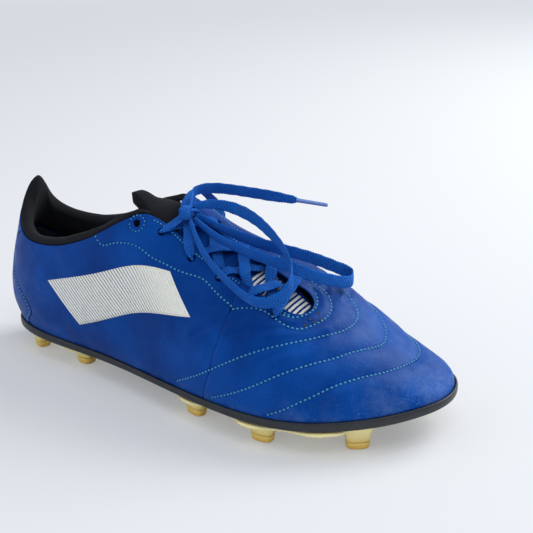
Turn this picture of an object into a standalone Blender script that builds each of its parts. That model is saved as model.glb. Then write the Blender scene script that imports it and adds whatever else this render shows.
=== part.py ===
"""Soccer cleat, right foot: lasted upper on a moulded sole plate with studs.

Built in millimetres in a lasting frame (+X heel to toe, +Y inner side, Z = 0 at the stud tips),
then moved so that ORIGIN becomes the world origin, and scaled to metres.

Places on the upper are given on the surface of the last:
  along   0 at the heel centre, 1 at the toe tip, on either side
  around  0..1 heel to toe on the lateral side, 1..2 toe back to heel on the medial side
  rise    0 at the sole edge (feather line), 1 on the centre line of the lacing
  arc     millimetres from the heel centre along the feather line
  station X of a section where it meets the lacing line
  height  millimetres outside the surface of the last, negative inside
"""
import bpy
import bmesh
import numpy as np
from math import pi, sin, cos, radians
from mathutils import Vector

for old in list(bpy.data.objects):
    bpy.data.objects.remove(old, do_unlink=True)

# ---------------------------------------------------------------- driving dimensions (mm)
MM = 0.001
ORIGIN = (135.83, -4.1045, 0.0)     # lasting-frame point that becomes the world origin
SIDES = ("lateral", "medial")       # outer (-Y) and inner (+Y) side

LEATHER = 1.2                       # thickness of each layer
COUNTER = 1.2
PUFF = 0.7
LINING = 0.7
FACING = 0.6
PRINT_FILM = 0.4
STUD_SHEET = 2.0

PUFF_DEPTH = 1.75                   # outer face of each inside layer, below the leather's
COUNTER_DEPTH = 1.85
PADDING_DEPTH = 1.9
FACING_DEPTH = 2.3
VAMP_LINING_DEPTH = 2.95
QUARTER_LINING_DEPTH = 3.6
PRINT_HEIGHT = 0.95

SEAM = 0.5                          # clear gap between neighbouring panels
EYE_RADIUS = 2.4
EYE_SETBACK = 5.6                   # eyelet centre behind the throat edge
EYE_STATIONS = (103.5, 119.5, 141.0, 160.0, 179.0, 196.0)
THROAT_END = 210.5                  # toe end of the throat and its rounding length
THROAT_ROUND = 9.0
TOPLINE_END = 150.0                 # arc beyond which the throat alone sets the leather edge
EDGE_BLEND = 0.05                   # rise over which topline and throat edge melt together
TONGUE_ROOT = 211.0                 # stitched root of the tongue

LACE_WIDTH = 6.4
LACE_THICK = 1.1
AGLET_RADIUS = 1.35
KNOT = np.array([131.0, -14.0, 106.4])
KNOT_RADII = (5.4, 5.0, 3.1)

STUD_TIP_TOP = 3.9                  # height of the separately moulded stud tip
TIP_OVERLAP = 0.3                   # gap between the tip and the stud above it


# ---------------------------------------------------------------- cubic splines
def fit_spline(knots, values, periodic=False):
    """Second derivatives at the knots; values may hold one row of numbers per knot."""
    knots = np.asarray(knots, float)
    values = np.asarray(values, float)
    count = len(knots)
    step = np.diff(knots)
    slope = (np.diff(values, axis=0).T / step).T
    left = np.zeros((count, count))
    right = np.zeros(values.shape)
    for i in range(1, count - 1):
        left[i, i - 1:i + 2] = step[i - 1], 2 * (step[i - 1] + step[i]), step[i]
        right[i] = 6 * (slope[i] - slope[i - 1])
    left[-1, -1] = 1
    if periodic:
        left[0, 0] = 2 * (step[0] + step[-1])
        left[0, 1] = step[0]
        left[0, -2] = step[-1]
        right[0] = 6 * (slope[0] - slope[-1])
        left[-1, 0] = -1
    else:
        left[0, 0] = 1
    return np.linalg.solve(left, right)


def blend_cubic(before, after, bend_before, bend_after, share, step):
    """Cubic between two knots from their values and second derivatives."""
    rest = 1 - share
    bend = (rest**3 - rest) * bend_before + (share**3 - share) * bend_after
    return rest * before + share * after + bend * step**2 / 6


def eval_spline(knots, values, bends, query):
    query = np.asarray(query, float)
    i = np.clip(np.searchsorted(knots, query, side="right") - 1, 0, len(knots) - 2)
    step = knots[i + 1] - knots[i]
    shape = np.shape(step) + (1,) * (values.ndim - 1)
    share = ((query - knots[i]) / step).reshape(shape)
    return blend_cubic(values[i], values[i + 1], bends[i], bends[i + 1],
                       share, step.reshape(shape))


class Curve:
    """Natural cubic through (x, y) knots; flat outside."""

    def __init__(self, points):
        self.x, self.y = np.array(points, float).T
        self.bends = fit_spline(self.x, self.y)

    def __call__(self, x):
        x = np.clip(np.asarray(x, float), self.x[0], self.x[-1])
        return eval_spline(self.x, self.y, self.bends, x)


def ease(start, end, x):
    """0 before start, 1 after end, smooth between."""
    share = np.clip((np.asarray(x, float) - start) / (end - start), 0, 1)
    return share * share * (3 - 2 * share)


# ---------------------------------------------------------------- the last: design tables (mm)
# station, lateral feather point (x, y), medial feather point (x, y)
STATIONS = [
    (16, (-6, 0), (-6, 0)),
    (18, (-1.5, -14.0), (-1.5, 13.2)),
    (26, (14, -24.8), (13, 23.2)),
    (48, (44, -31), (43, 28.8)),
    (80, (80, -34.5), (78, 31.5)),
    (110, (110, -40), (108, 34)),
    (140, (140, -47), (138, 38)),
    (170, (170, -53.0), (168, 43)),
    (197, (198, -55.5), (196, 46.5)),
    (219, (224, -51.0), (222, 47)),
    (236, (247, -39), (245, 43)),
    (246, (265.5, -24.5), (266, 34)),
    (251, (278.5, -9), (277, 22.5)),
    (253, (282.0, 6.5), (282.0, 6.5)),
]
# ridge of the last: x against z, and x against y
SPINE_Z = Curve([
    (0, 121), (40, 120), (80, 118), (95, 116), (110, 111), (128, 103.5), (150, 95.5),
    (175, 86.5), (200, 75.8), (220, 63.8), (236, 51.8), (246, 44.6), (253, 40.0), (256, 38.2)])
SPINE_Y = Curve([
    (0, 0), (80, 0), (110, 1), (140, 1), (170, 2), (200, 4.5), (225, 7.5), (245, 8.0),
    (253, 7.5)])
# feather line: x against z
FEATHER_Z = Curve([
    (0, 18), (25, 17.2), (60, 16.5), (110, 16), (150, 16.4), (185, 17.1), (215, 17.9),
    (240, 19.3), (262, 21.8), (283, 25.6)])
# superellipse exponent of the section against station
FULLNESS = {
    "lateral": Curve([
        (80, 2.5), (110, 2.3), (140, 2.05), (170, 1.9), (197, 1.82), (219, 1.85),
        (236, 1.98), (246, 2.1), (253, 2.2)]),
    "medial": Curve([
        (80, 2.5), (110, 2.4), (140, 2.25), (170, 2.15), (197, 2.0), (219, 1.88),
        (236, 1.88), (246, 2.0), (253, 2.2)]),
}
# outward swell low on the section against station
BULGE = Curve([
    (80, 3.2), (110, 2.2), (140, 1.5), (170, 1.8), (197, 2.4), (219, 2.4), (236, 2.0),
    (246, 1.6), (253, 1.4)])
# heel wall: z against inward lean, at the back of the heel and at its sides
HEEL_BACK = Curve([
    (17, 0), (22, -2.6), (31, -5.6), (40, -6.2), (48, -5.4), (62, -2.0), (77, 2.4),
    (94, 7.4), (107, 11.5), (121, 17)])
HEEL_SIDE = Curve([
    (17, 0), (24, -2.2), (34, -3.9), (46, -3.6), (60, -1.8), (74, 1.0), (90, 4.8),
    (107, 9.5), (121, 14)])
# centre line of the lacing, x against y: outside the ridge, and back to it at the toe
THROAT_Y = Curve([
    (60, -2), (85, -5), (103, -9), (118, -12), (142, -15), (165, -17.5), (185, -18.3),
    (205, -17), (222, -11), (236, -3.0), (246, 3.0), (253, 7.5)])
FIRST_SHIFTED_STATION = 105         # from here on the two sides meet on the lacing line

SECTION_SAMPLES = 81
SIDE_ROWS = 9                       # net points from feather line to lacing line
CROSS_ROWS = 2 * SIDE_ROWS - 1      # net points over a whole section


def section(station, feather, side, at_heel):
    """Dense section from a feather point up to the ridge."""
    feather = np.array(feather, float)
    base = float(FEATHER_Z(feather[0]))
    top = float(SPINE_Z(station))
    reach = np.array([station, float(SPINE_Y(station))]) - feather
    length = np.hypot(*reach)
    heading = np.array([1.0, 0.0]) if at_heel else reach / length
    power = 2 / float(FULLNESS[side](station))
    share = np.linspace(0, 1, SECTION_SAMPLES)
    angle = share * pi / 2
    inward = length * (1 - np.cos(angle) ** power)
    inward -= float(BULGE(station)) * np.sin(np.minimum(pi, 2.2 * angle)) * (1 - share)
    # towards the toe the section arrives on the ridge with part of the ridge's own slope
    ridge_slope = float(SPINE_Z(station + 1) - SPINE_Z(station - 1)) / 2
    slope = 0.6 * ridge_slope * heading[0] * float(ease(215, 246, station))
    z = base + (top - base - slope * length) * np.sin(angle) ** power + slope * inward
    # near the heel the wall follows the lean tables instead
    sideness = ease(0, 26, abs(feather[1]))
    heel = 1 - ease(78, 118, feather[0])
    lean = (1 - sideness) * HEEL_BACK(z) + sideness * HEEL_SIDE(z)
    inward = heel * lean + (1 - heel) * inward
    return np.stack([feather[0] + heading[0] * inward, feather[1] + heading[1] * inward, z], -1)


def resample(points, count):
    """Points evenly spaced along a polyline."""
    steps = np.linalg.norm(np.diff(points, axis=0), axis=1)
    length = np.concatenate([[0], np.cumsum(steps)])
    query = np.linspace(0, length[-1], count)
    return np.stack([np.interp(query, length, points[:, axis]) for axis in range(3)], -1)


def build_net():
    """Rows of surface points round the last: lateral heel to toe, medial back to the heel."""
    lateral_rows, medial_rows = [], []
    last = len(STATIONS) - 1
    for k, (station, lateral_foot, medial_foot) in enumerate(STATIONS):
        lateral = section(station, lateral_foot, "lateral", k == 0)
        medial = section(station, medial_foot, "medial", k == 0)
        if station >= FIRST_SHIFTED_STATION and k < last:
            cut = int(np.argmax(lateral[:, 1] >= float(THROAT_Y(station))))
            medial = np.concatenate([medial, lateral[cut:-1][::-1]])
            lateral = lateral[:cut + 1]
        lateral_rows.append(resample(lateral, SIDE_ROWS))
        medial_rows.append(resample(medial, SIDE_ROWS))
    net = np.array(lateral_rows + medial_rows[-2:0:-1] + lateral_rows[:1])
    return net.reshape(len(net), -1)


def station_knots():
    """The along value of each station, from the spacing of the feather points."""
    feet = np.array([pair for _, *pair in STATIONS], float)
    steps = np.linalg.norm(np.diff(feet, axis=0), axis=2).sum(1)
    total = np.concatenate([[0], np.cumsum(steps)])
    return total / total[-1]


NET = build_net()
ALONG_KNOTS = station_knots()
RING_KNOTS = np.concatenate([ALONG_KNOTS, 2 - ALONG_KNOTS[-2:0:-1], [2.0]])
RING_BENDS = fit_spline(RING_KNOTS, NET, periodic=True)
# turns the values of a cross section into its second derivatives
CROSS_BENDS = fit_spline(np.linspace(0, 1, CROSS_ROWS), np.eye(CROSS_ROWS))


def surface(around, rise):
    """Points on the last; a rise above 1 carries on down the other side."""
    around, rise = np.broadcast_arrays(np.atleast_1d(np.asarray(around, float)),
                                       np.atleast_1d(np.asarray(rise, float)))
    shape = around.shape
    around = around.ravel() % 2.0
    rise = rise.ravel()
    is_lateral = around <= 1
    along = np.where(is_lateral, around, 2 - around)
    lateral, medial = [
        eval_spline(RING_KNOTS, NET, RING_BENDS, place).reshape(-1, SIDE_ROWS, 3)
        for place in (along, 2 - along)]
    rows = np.concatenate([lateral, medial[:, -2::-1]], axis=1)
    bends = np.einsum("ij,njk->nik", CROSS_BENDS, rows)
    scaled = np.where(is_lateral, rise / 2, 1 - rise / 2) * (CROSS_ROWS - 1)
    i = np.clip(scaled.astype(int), 0, CROSS_ROWS - 2)
    k = np.arange(len(scaled))
    points = blend_cubic(rows[k, i], rows[k, i + 1], bends[k, i], bends[k, i + 1],
                         (scaled - i)[:, None], 1.0 / (CROSS_ROWS - 1))
    return points.reshape(shape + (3,))


def raw_normal(around, rise, step=1e-3):
    forward = (surface(around + step, rise) - surface(around - step, rise))[0]
    upward = (surface(around, np.clip(rise + step, 0, 1))
              - surface(around, np.clip(rise - step, 0, 1)))[0]
    cross = np.cross(forward, upward)
    return cross / max(np.linalg.norm(cross), 1e-9)


def normal(around, rise):
    """Outward unit normal at one place."""
    # both sides share the lacing line, so at the toe tip the normal is read a little below it
    # and averaged over the two
    from_toe = abs(around % 2.0 - 1)
    low = min(rise, 1 - 0.05 * (1 - float(ease(0, 0.05, from_toe))))
    share = float(0.5 * ease(0.8, 1.0, rise) * (1 - ease(0.10, 0.16, from_toe)))
    result = raw_normal(around, low)
    if share > 0:
        result = result * (1 - share) + raw_normal(2 - around, low) * share
        result = result / max(np.linalg.norm(result), 1e-9)
    return result


def point(around, rise, height=0.0):
    """Point at a height outside the last."""
    around, rise = float(around), float(rise)
    return surface(around, rise)[0] + normal(around, rise) * height


# ---------------------------------------------------------------- places round the last
def to_ring(along, side):
    return along if side == "lateral" else 2 - along


def fold(around):
    """The (along, side) of a place on the ring."""
    around = around % 2.0
    return (around, "lateral") if around <= 1 else (2 - around, "medial")


def measure_arcs():
    """Arc length against along, for each side."""
    feather = surface(np.linspace(0, 2, 2001), 0.0)
    steps = np.hypot(*np.diff(feather[:, :2], axis=0).T)
    arc = np.concatenate([[0], np.cumsum(steps)])
    return {"lateral": arc[:1001], "medial": (arc[-1] - arc)[1000:][::-1]}


ARC_ALONG = np.linspace(0, 1, 1001)
ARCS = measure_arcs()


def arc_at(along, side):
    return np.interp(along, ARC_ALONG, ARCS[side])


def along_at(arc, side):
    return np.interp(arc, ARCS[side], ARC_ALONG)


def ring_at(arc, side):
    return float(to_ring(along_at(arc, side), side))


# ---------------------------------------------------------------- opening edge of the leather
# arc against z of the topline
TOPLINE = {
    "lateral": Curve([
        (0, 97), (8, 95), (16, 89.5), (27, 80.6), (36, 76.6), (47, 75.2), (57, 75.6),
        (68, 77.4), (83, 82.2), (96, 88), (108, 94.9), (116, 99.4), (122, 102.4),
        (132, 107), (150, 112)]),
    "medial": Curve([
        (0, 97), (8, 95), (16, 90), (27, 82.2), (36, 78.7), (47, 77), (57, 77),
        (68, 78.8), (83, 83.4), (96, 89), (108, 95.5), (116, 99.8), (122, 102.8),
        (132, 107), (150, 112)]),
}
# station against half width of the throat
THROAT_HALF = {
    "lateral": Curve([
        (88, 0), (95, 5), (100, 9.5), (105, 11.5), (110, 11.6), (118, 10.6), (130, 9.8),
        (142, 9.3), (160, 9.0), (185, 9.0), (201.5, 9.0)]),
    "medial": Curve([
        (84, 0), (90, 9), (96, 15), (102, 17.2), (108, 16.6), (116, 13.6), (124, 11),
        (134, 9.8), (142, 9.4), (160, 9.0), (185, 9.0), (201.5, 9.0)]),
}
TABLE_ALONG = np.linspace(0, 1, 401)
TABLE_RISE = np.linspace(0, 1, 61)
STATION_START = 100                 # table row from which stations are looked up


def throat_gap(station, side):
    ratio = np.clip((station - (THROAT_END - THROAT_ROUND)) / THROAT_ROUND, 0, 1)
    return THROAT_HALF[side](station) * np.sqrt(1 - ratio * ratio)


def rise_of_height(heights, z):
    """Rise at which a section first reaches z; 1 if it starts above or never does."""
    above = np.nonzero(heights >= z)[0]
    if not len(above) or above[0] == 0:
        return 1.0
    j = above[0]
    share = (z - heights[j - 1]) / (heights[j] - heights[j - 1])
    return TABLE_RISE[j - 1] + (TABLE_RISE[j] - TABLE_RISE[j - 1]) * share


def measure_sections(side):
    """Girth, station and rise of the leather edge against along."""
    grid = surface(to_ring(TABLE_ALONG, side)[:, None], TABLE_RISE[None])
    girths = np.linalg.norm(np.diff(grid, axis=1), axis=2).sum(1)
    stations = grid[:, -1, 0]
    arcs = arc_at(TABLE_ALONG, side)
    at_topline = np.ones(len(TABLE_ALONG))
    for k, z in enumerate(TOPLINE[side](arcs)):
        if arcs[k] < TOPLINE_END:
            at_topline[k] = rise_of_height(grid[k, :, 2], z)
    at_throat = 1 - throat_gap(stations, side) / girths
    # smooth minimum of the two edges
    mix = np.clip(0.5 + 0.5 * (at_throat - at_topline) / EDGE_BLEND, 0, 1)
    blended = at_throat * (1 - mix) + at_topline * mix - EDGE_BLEND * mix * (1 - mix)
    edge = np.where(arcs >= TOPLINE_END, at_throat, blended)
    return {"girth": girths, "station": stations, "edge": edge}


SECTION_TABLES = {side: measure_sections(side) for side in SIDES}


def look_up(around, column):
    along, side = fold(around)
    return float(np.interp(along, TABLE_ALONG, SECTION_TABLES[side][column]))


def girth(around):
    """Length of a section from sole edge to lacing line."""
    return look_up(around, "girth")


def open_rise(around):
    """Rise of the leather edge."""
    return look_up(around, "edge")


def along_at_station(station):
    stations = SECTION_TABLES["lateral"]["station"]
    return float(np.interp(station, stations[STATION_START:], TABLE_ALONG[STATION_START:]))


THROAT_END_ALONG = along_at_station(THROAT_END)


def lacing(station, distance, height):
    """Point above the throat; distance from the lacing line is negative on the lateral side."""
    side = "lateral" if distance < 0 else "medial"
    around = to_ring(along_at_station(station), side)
    return point(around, 1 - abs(distance) / girth(around), height)


def edge_distance(eye, side):
    """Distance of the leather edge from the lacing line at an eyelet."""
    around = to_ring(along_at_station(EYE_STATIONS[eye]), side)
    return (1 - open_rise(around)) * girth(around)


def eye_place(eye, side):
    """The (around, rise) of an eyelet."""
    around = to_ring(along_at_station(EYE_STATIONS[eye]), side)
    return around, open_rise(around) - EYE_SETBACK / girth(around)


# ---------------------------------------------------------------- materials
def material(name, rgb, roughness, sheen=0.0):
    """rgb is 0..255 and gamma encoded."""
    result = bpy.data.materials.new(name)
    result.use_nodes = True
    inputs = result.node_tree.nodes["Principled BSDF"].inputs
    inputs["Base Color"].default_value = (*[(c / 255) ** 2.2 for c in rgb], 1)
    inputs["Roughness"].default_value = roughness
    inputs["Sheen Weight"].default_value = sheen
    return result


BLUE = material("upper_leather", rgb=(14, 58, 160), roughness=0.45)
BLACK_KNIT = material("collar_knit", rgb=(22, 22, 24), roughness=0.9, sheen=0.4)
LINER = material("lining_textile", rgb=(30, 32, 38), roughness=0.95)
BOARD = material("board", rgb=(96, 92, 84), roughness=0.9)
SOLE_BLACK = material("sole_black", rgb=(52, 54, 58), roughness=0.5)
CREAM = material("stud_cream", rgb=(238, 222, 158), roughness=0.35)
AMBER = material("stud_tip", rgb=(226, 178, 74), roughness=0.35)
PRINT = material("side_print", rgb=(240, 238, 224), roughness=0.5)
LACE = material("lace_weave", rgb=(22, 84, 200), roughness=0.85, sheen=0.3)
AGLET = material("aglet_plastic", rgb=(110, 140, 190), roughness=0.3)

# ---------------------------------------------------------------- Blender helpers
SHARP_ANGLE = radians(40)
WELD = 2e-6                         # metres

shoe_collection = bpy.data.collections.new("soccer_cleat")
cutter_collection = bpy.data.collections.new("cutters")
bpy.context.scene.collection.children.link(shoe_collection)
bpy.context.scene.collection.children.link(cutter_collection)


def to_metres(points):
    """Lasting frame to world."""
    return (np.asarray(points, float) - np.array(ORIGIN)) * MM


def to_mesh(name, bm):
    mesh = bpy.data.meshes.new(name)
    bm.to_mesh(mesh)
    bm.free()
    return mesh


def add_object(name, bm, mat, origin=None):
    mesh = to_mesh(name, bm)
    ob = bpy.data.objects.new(name, mesh)
    shoe_collection.objects.link(ob)
    mesh.materials.append(mat)
    mesh.shade_smooth()
    mesh.set_sharp_from_angle(angle=SHARP_ANGLE)
    if origin is not None:
        shift = Vector(to_metres(origin))
        for vert in mesh.vertices:
            vert.co -= shift
        ob.location = shift
    return ob


def add_cutter(name, bm):
    ob = bpy.data.objects.new(name, to_mesh(name, bm))
    cutter_collection.objects.link(ob)
    ob.hide_render = True
    ob.display_type = "WIRE"
    return ob


def grid_mesh(grids, outward=None):
    """Open surface from point grids that share edges; faces turned along outward(centre)."""
    bm = bmesh.new()
    for grid in grids:
        rows = [[bm.verts.new(to_metres(p)) for p in row] for row in grid]
        for near, far in zip(rows, rows[1:]):
            for j in range(len(near) - 1):
                bm.faces.new((near[j], far[j], far[j + 1], near[j + 1]))
    bmesh.ops.remove_doubles(bm, verts=bm.verts, dist=WELD)
    bmesh.ops.recalc_face_normals(bm, faces=bm.faces)
    if outward is not None:
        bm.normal_update()
        facing = sum(f.normal.dot(outward(f.calc_center_median())) * f.calc_area()
                     for f in bm.faces)
        if facing < 0:
            bmesh.ops.reverse_faces(bm, faces=bm.faces)
    return bm


def from_foot_axis(centre):
    """Direction away from a segment along X inside the shoe (metres)."""
    nearest_x = min(max(centre.x, -0.11), 0.10)
    return Vector((centre.x - nearest_x, centre.y + 0.004, centre.z - 0.035))


def straight_up(_centre):
    return Vector((0, 0, 1))


def add_thickness(ob, thickness, offset):
    solidify = ob.modifiers.new("thickness", "SOLIDIFY")
    solidify.thickness = thickness * MM
    solidify.offset = offset
    solidify.use_rim = True
    solidify.use_quality_normals = True


def shell(name, grids, thickness, mat, outward=from_foot_axis):
    """Open surface thickened inwards."""
    ob = add_object(name, grid_mesh(grids, outward), mat)
    add_thickness(ob, thickness, offset=-1.0)
    return ob


def add_rings(bm, rings):
    """Side walls through closed rings with equal counts; returns the rings of vertices."""
    rows = [[bm.verts.new(to_metres(p)) for p in ring] for ring in rings]
    count = len(rows[0])
    for a, b in zip(rows, rows[1:]):
        for j in range(count):
            k = (j + 1) % count
            bm.faces.new((a[j], a[k], b[k], b[j]))
    return rows


def add_caps(bm, rows):
    return [bm.faces.new(rows[0][::-1]), bm.faces.new(rows[-1])]


def loft(name, rings, mat, origin=None):
    """Closed body through a row of closed sections."""
    bm = bmesh.new()
    bmesh.ops.triangulate(bm, faces=add_caps(bm, add_rings(bm, rings)))
    bmesh.ops.recalc_face_normals(bm, faces=bm.faces)
    return add_object(name, bm, mat, origin)


def combine(ob, tool, operation):
    boolean = ob.modifiers.new(operation.lower(), "BOOLEAN")
    boolean.object = tool
    boolean.operation = operation
    boolean.solver = "EXACT"


def punch_eyelets(ob, name, eyes, sides, outside=2.0, inside=3.0):
    """Cut round eyelets along the surface normal, reaching outside and inside the last."""
    bm = bmesh.new()
    for eye in eyes:
        for side in sides:
            place = eye_place(eye, side)
            direction = normal(*place)
            centre = point(*place) + direction * (outside - inside) / 2
            matrix = Vector(direction).to_track_quat("Z", "Y").to_matrix().to_4x4()
            matrix.translation = Vector(to_metres(centre))
            bmesh.ops.create_cone(
                bm, cap_ends=True, segments=12, radius1=EYE_RADIUS * MM,
                radius2=EYE_RADIUS * MM, depth=(outside + inside) * MM, matrix=matrix)
    combine(ob, add_cutter(name, bm), "DIFFERENCE")


# ---------------------------------------------------------------- panels of the upper
# seam between heel panel and quarter, and lap between quarter and vamp:
# fraction of the panel height against arc
HEEL_SEAM = Curve([
    (0, 33), (0.08, 36), (0.18, 42), (0.30, 42), (0.40, 35), (0.52, 25), (0.66, 19),
    (0.80, 20.5), (1.0, 30)])
LAP = Curve([(0, 186), (0.2, 190), (0.45, 193.5), (0.7, 196), (1.0, 195)])


def heel_edge(rise):
    return HEEL_SEAM(rise) - SEAM / 2


def quarter_back(rise):
    return HEEL_SEAM(rise) + SEAM / 2


def quarter_front(rise):
    return LAP(rise) - SEAM / 2


def vamp_back(rise):
    return LAP(rise) + SEAM / 2


# arcs of the quarter's columns at the top edge, and the same as fractions of its length
TOP_ARCS = [
    float(quarter_back(1)), 38, 46, 55, 64, 74, 84, 94, 103, 110, 115, 119, 123, 127, 131,
    136, 143, 153, 163, 174, 185, float(quarter_front(1))]
TOP_SHARES = [(arc - TOP_ARCS[0]) / (TOP_ARCS[-1] - TOP_ARCS[0]) for arc in TOP_ARCS]
# fractions of the panel height shared by the layers
RISES = np.array([0, 0.12, 0.24, 0.36, 0.48, 0.60, 0.71, 0.81, 0.88, 0.94, 1.0])
# vamp rows: lap to throat end, then throat end to toe tip
BACK_SHARES = np.array([0, 0.34, 0.6, 0.78, 0.90, 0.965, 1.0])
FRONT_SHARES = np.array([0, 0.10, 0.22, 0.35, 0.48, 0.61, 0.73, 0.86, 1.0])
FRONT_ALONG = THROAT_END_ALONG + (1 - THROAT_END_ALONG) * FRONT_SHARES


def panel(side, start, end, shares, rises, height=0.0, low=0.0, high=open_rise):
    """Grid between two arc curves, from the rise low up to high(around)."""
    rows = []
    for share in shares:
        row = []
        for rise in rises:
            first, last = float(start(rise)), float(end(rise))
            around = ring_at(first + (last - first) * share, side)
            row.append(point(around, low + (high(around) - low) * rise, height))
        rows.append(row)
    return rows


def heel_centre(_rise):
    return 0.0


def build_heel_panel():
    """One surface round the heel."""
    shares = np.linspace(0, 1, 9)
    grids = [panel(side, heel_centre, heel_edge, shares, RISES) for side in SIDES]
    shell("heel_panel", grids, LEATHER, BLUE)


def build_quarter(side):
    grid = panel(side, quarter_back, quarter_front, TOP_SHARES, RISES)
    ob = shell("quarter_" + side, [grid], LEATHER, BLUE)
    punch_eyelets(ob, "punch_quarter_" + side[0], eyes=range(4), sides=[side])


def vamp_point(along, rise, side, closing):
    """closing: the leather edge snaps to the lacing line where it is nearly there."""
    around = to_ring(along, side)
    top = open_rise(around)
    if closing and top > 0.985:
        top = 1.0
    return point(around, top * rise)


def vamp_grid(side):
    rows = []
    for share in BACK_SHARES:
        row = []
        for rise in RISES:
            lap = along_at(float(vamp_back(rise)), side)
            along = lap + (THROAT_END_ALONG - lap) * share
            row.append(vamp_point(along, rise, side, closing=share == 1))
        rows.append(row)
    for along in FRONT_ALONG[1:]:
        rows.append([vamp_point(along, rise, side, closing=True) for rise in RISES])
    return rows


def build_vamp():
    """Both sides and the toe in one surface, open where the throat is."""
    ob = shell("vamp", [vamp_grid(side) for side in SIDES], LEATHER, BLUE)
    punch_eyelets(ob, "punch_vamp", eyes=(4, 5), sides=SIDES)


# ---------------------------------------------------------------- reinforcements
def build_heel_counter():
    """Moulded cup between leather and lining."""
    def top(around):
        arc = arc_at(*fold(around))
        return min(0.40 - 0.16 * float(ease(38, 74, arc)),
                   open_rise(around) - 25.0 / girth(around))

    def front(rise):
        return 74 - 14 * rise

    grids = [panel(side, heel_centre, front, np.linspace(0, 1, 13), np.linspace(0, 1, 8),
                   height=-COUNTER_DEPTH, low=0.035, high=top) for side in SIDES]
    shell("heel_counter", grids, COUNTER, BOARD)


def build_toe_puff():
    """Thin stiffener under the toe of the vamp."""
    rises = [0.05, *RISES[1:]]
    grids = [[[point(to_ring(along, side), rise, -PUFF_DEPTH) for rise in rises]
              for along in FRONT_ALONG[4:]] for side in SIDES]
    shell("toe_puff", grids, PUFF, BOARD)


def build_facing(side):
    """Strip under the eyelets that stiffens the throat."""
    first_arc = {"lateral": 15, "medial": 16}[side]
    edge_gap, width = 2.0, 10.5
    rows = []
    for arc in TOP_ARCS[first_arc:-1] + [195, 203, 211, 218]:
        around = ring_at(arc, side)
        high = open_rise(around) - edge_gap / girth(around)
        low = high - width / girth(around)
        rows.append([point(around, low + (high - low) * share, -FACING_DEPTH)
                     for share in np.linspace(0, 1, 4)])
    ob = shell("eyelet_facing_" + side, [rows], FACING, LINER)
    punch_eyelets(ob, "punch_facing_" + side[0], eyes=range(1, 6), sides=[side],
                  outside=0.5, inside=4.0)


# ---------------------------------------------------------------- lining
# padding, all against arc: depth below the topline, thickness, and rise above the topline
PAD_DEPTH = Curve([(0, 22), (60, 21), (92, 15), (106, 6), (114, 1.6), (122, 1.2), (160, 1.2)])
PAD_THICK = Curve([(0, 5.2), (60, 5.0), (95, 4.2), (112, 2.6), (122, 1.9), (160, 1.7)])
PAD_ABOVE = Curve([
    (0, 12.5), (6, 11.0), (14, 8.0), (27, 5.8), (40, 5.2), (108, 5.0), (115, 3.8),
    (123, 2.6), (131, 1.7)])
LINING_ARCS = np.array([
    0, 6, 12, 18, 24, 30, 38, 46, 55, 64, 74, 84, 94, 103, 110, 116, 122, 129, 136, 144,
    153, 163, 172.0])
LINING_END = LINING_ARCS[-1]


def build_quarter_lining():
    def top(around):
        arc = arc_at(*fold(around))
        depth = float(PAD_DEPTH(arc)) + 2.5
        depth += (14.5 - depth) * float(ease(112, 128, arc))
        return open_rise(around) - depth / girth(around)

    grids = [panel(side, heel_centre, lambda rise: LINING_END, LINING_ARCS / LINING_END,
                   np.linspace(0, 1, 8), height=-QUARTER_LINING_DEPTH, low=0.045, high=top)
             for side in SIDES]
    shell("quarter_lining", grids, LINING, LINER)


def vamp_lining_grid(side):
    places = []                     # (around, rise of the top edge)
    start = LINING_END + 0.8
    for arc in start + (222 - LINING_END) * np.linspace(0, 1, 5):
        around = ring_at(arc, side)
        station = surface(around, 1.0)[0, 0]
        closing = float(ease(THROAT_END - 14, THROAT_END + 9, station))
        places.append((around, 1 - 23.5 * np.sqrt(max(0.0, 1 - closing)) / girth(around)))
    places += [(to_ring(along, side), 1.0) for along in FRONT_ALONG[2:]]
    return [[point(around, max(0.05, high * rise), -VAMP_LINING_DEPTH) for rise in RISES]
            for around, high in places]


def build_vamp_lining():
    shell("vamp_lining", [vamp_lining_grid(side) for side in SIDES], LINING, LINER)


# ---------------------------------------------------------------- collar
def collar_section(arc, side):
    around = ring_at(arc, side)
    above = float(PAD_ABOVE(arc))
    depth = float(PAD_DEPTH(arc))
    thick = float(PAD_THICK(arc))
    outer = -PADDING_DEPTH
    inner = outer - thick
    outline = [                     # distance above the topline, height
        (1.1, -0.35),
        (0.5 * above, 0.0),
        (0.85 * above, -0.35),
        (above, -0.35 - 0.30 * thick),
        (0.93 * above, -0.35 - 0.75 * thick),
        (0.55 * above, inner + 0.12 * thick),
        (0.0, inner),
        (-0.45 * depth, inner + 0.02 * thick),
        (-0.85 * depth, inner + 0.30 * thick),
        (-depth, outer - 0.45 * thick),
        (-depth, outer),
        (-0.5 * depth, outer),
        (0.3, outer - 0.05),
        (1.1, -1.5),
    ]
    return [point(around, min(1.2, open_rise(around) + up / girth(around)), height)
            for up, height in outline]


def build_collar():
    """Padded roll from one side round the heel to the other, tallest at the heel."""
    arcs = [arc for arc in TOP_ARCS if arc <= 131][::-1]
    arcs += [float(heel_edge(1)) * share for share in (0.8, 0.6, 0.4, 0.2)]
    line = [(arc, "lateral") for arc in arcs + [0.0]] + [(arc, "medial") for arc in arcs[::-1]]
    loft("collar_padding", [collar_section(arc, side) for arc, side in line], BLACK_KNIT)


# ---------------------------------------------------------------- tongue
TONGUE_STATIONS = [TONGUE_ROOT - 1.5, 203, 192, 178, 162, 146, 130, 118, 110]
# station against half width
TONGUE_HALF = Curve([
    (95, 8), (101, 11.5), (106, 15.0), (112, 19.5), (120, 22), (146, 20.5), (178, 18),
    (200, 13), (211, 7)])


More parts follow.
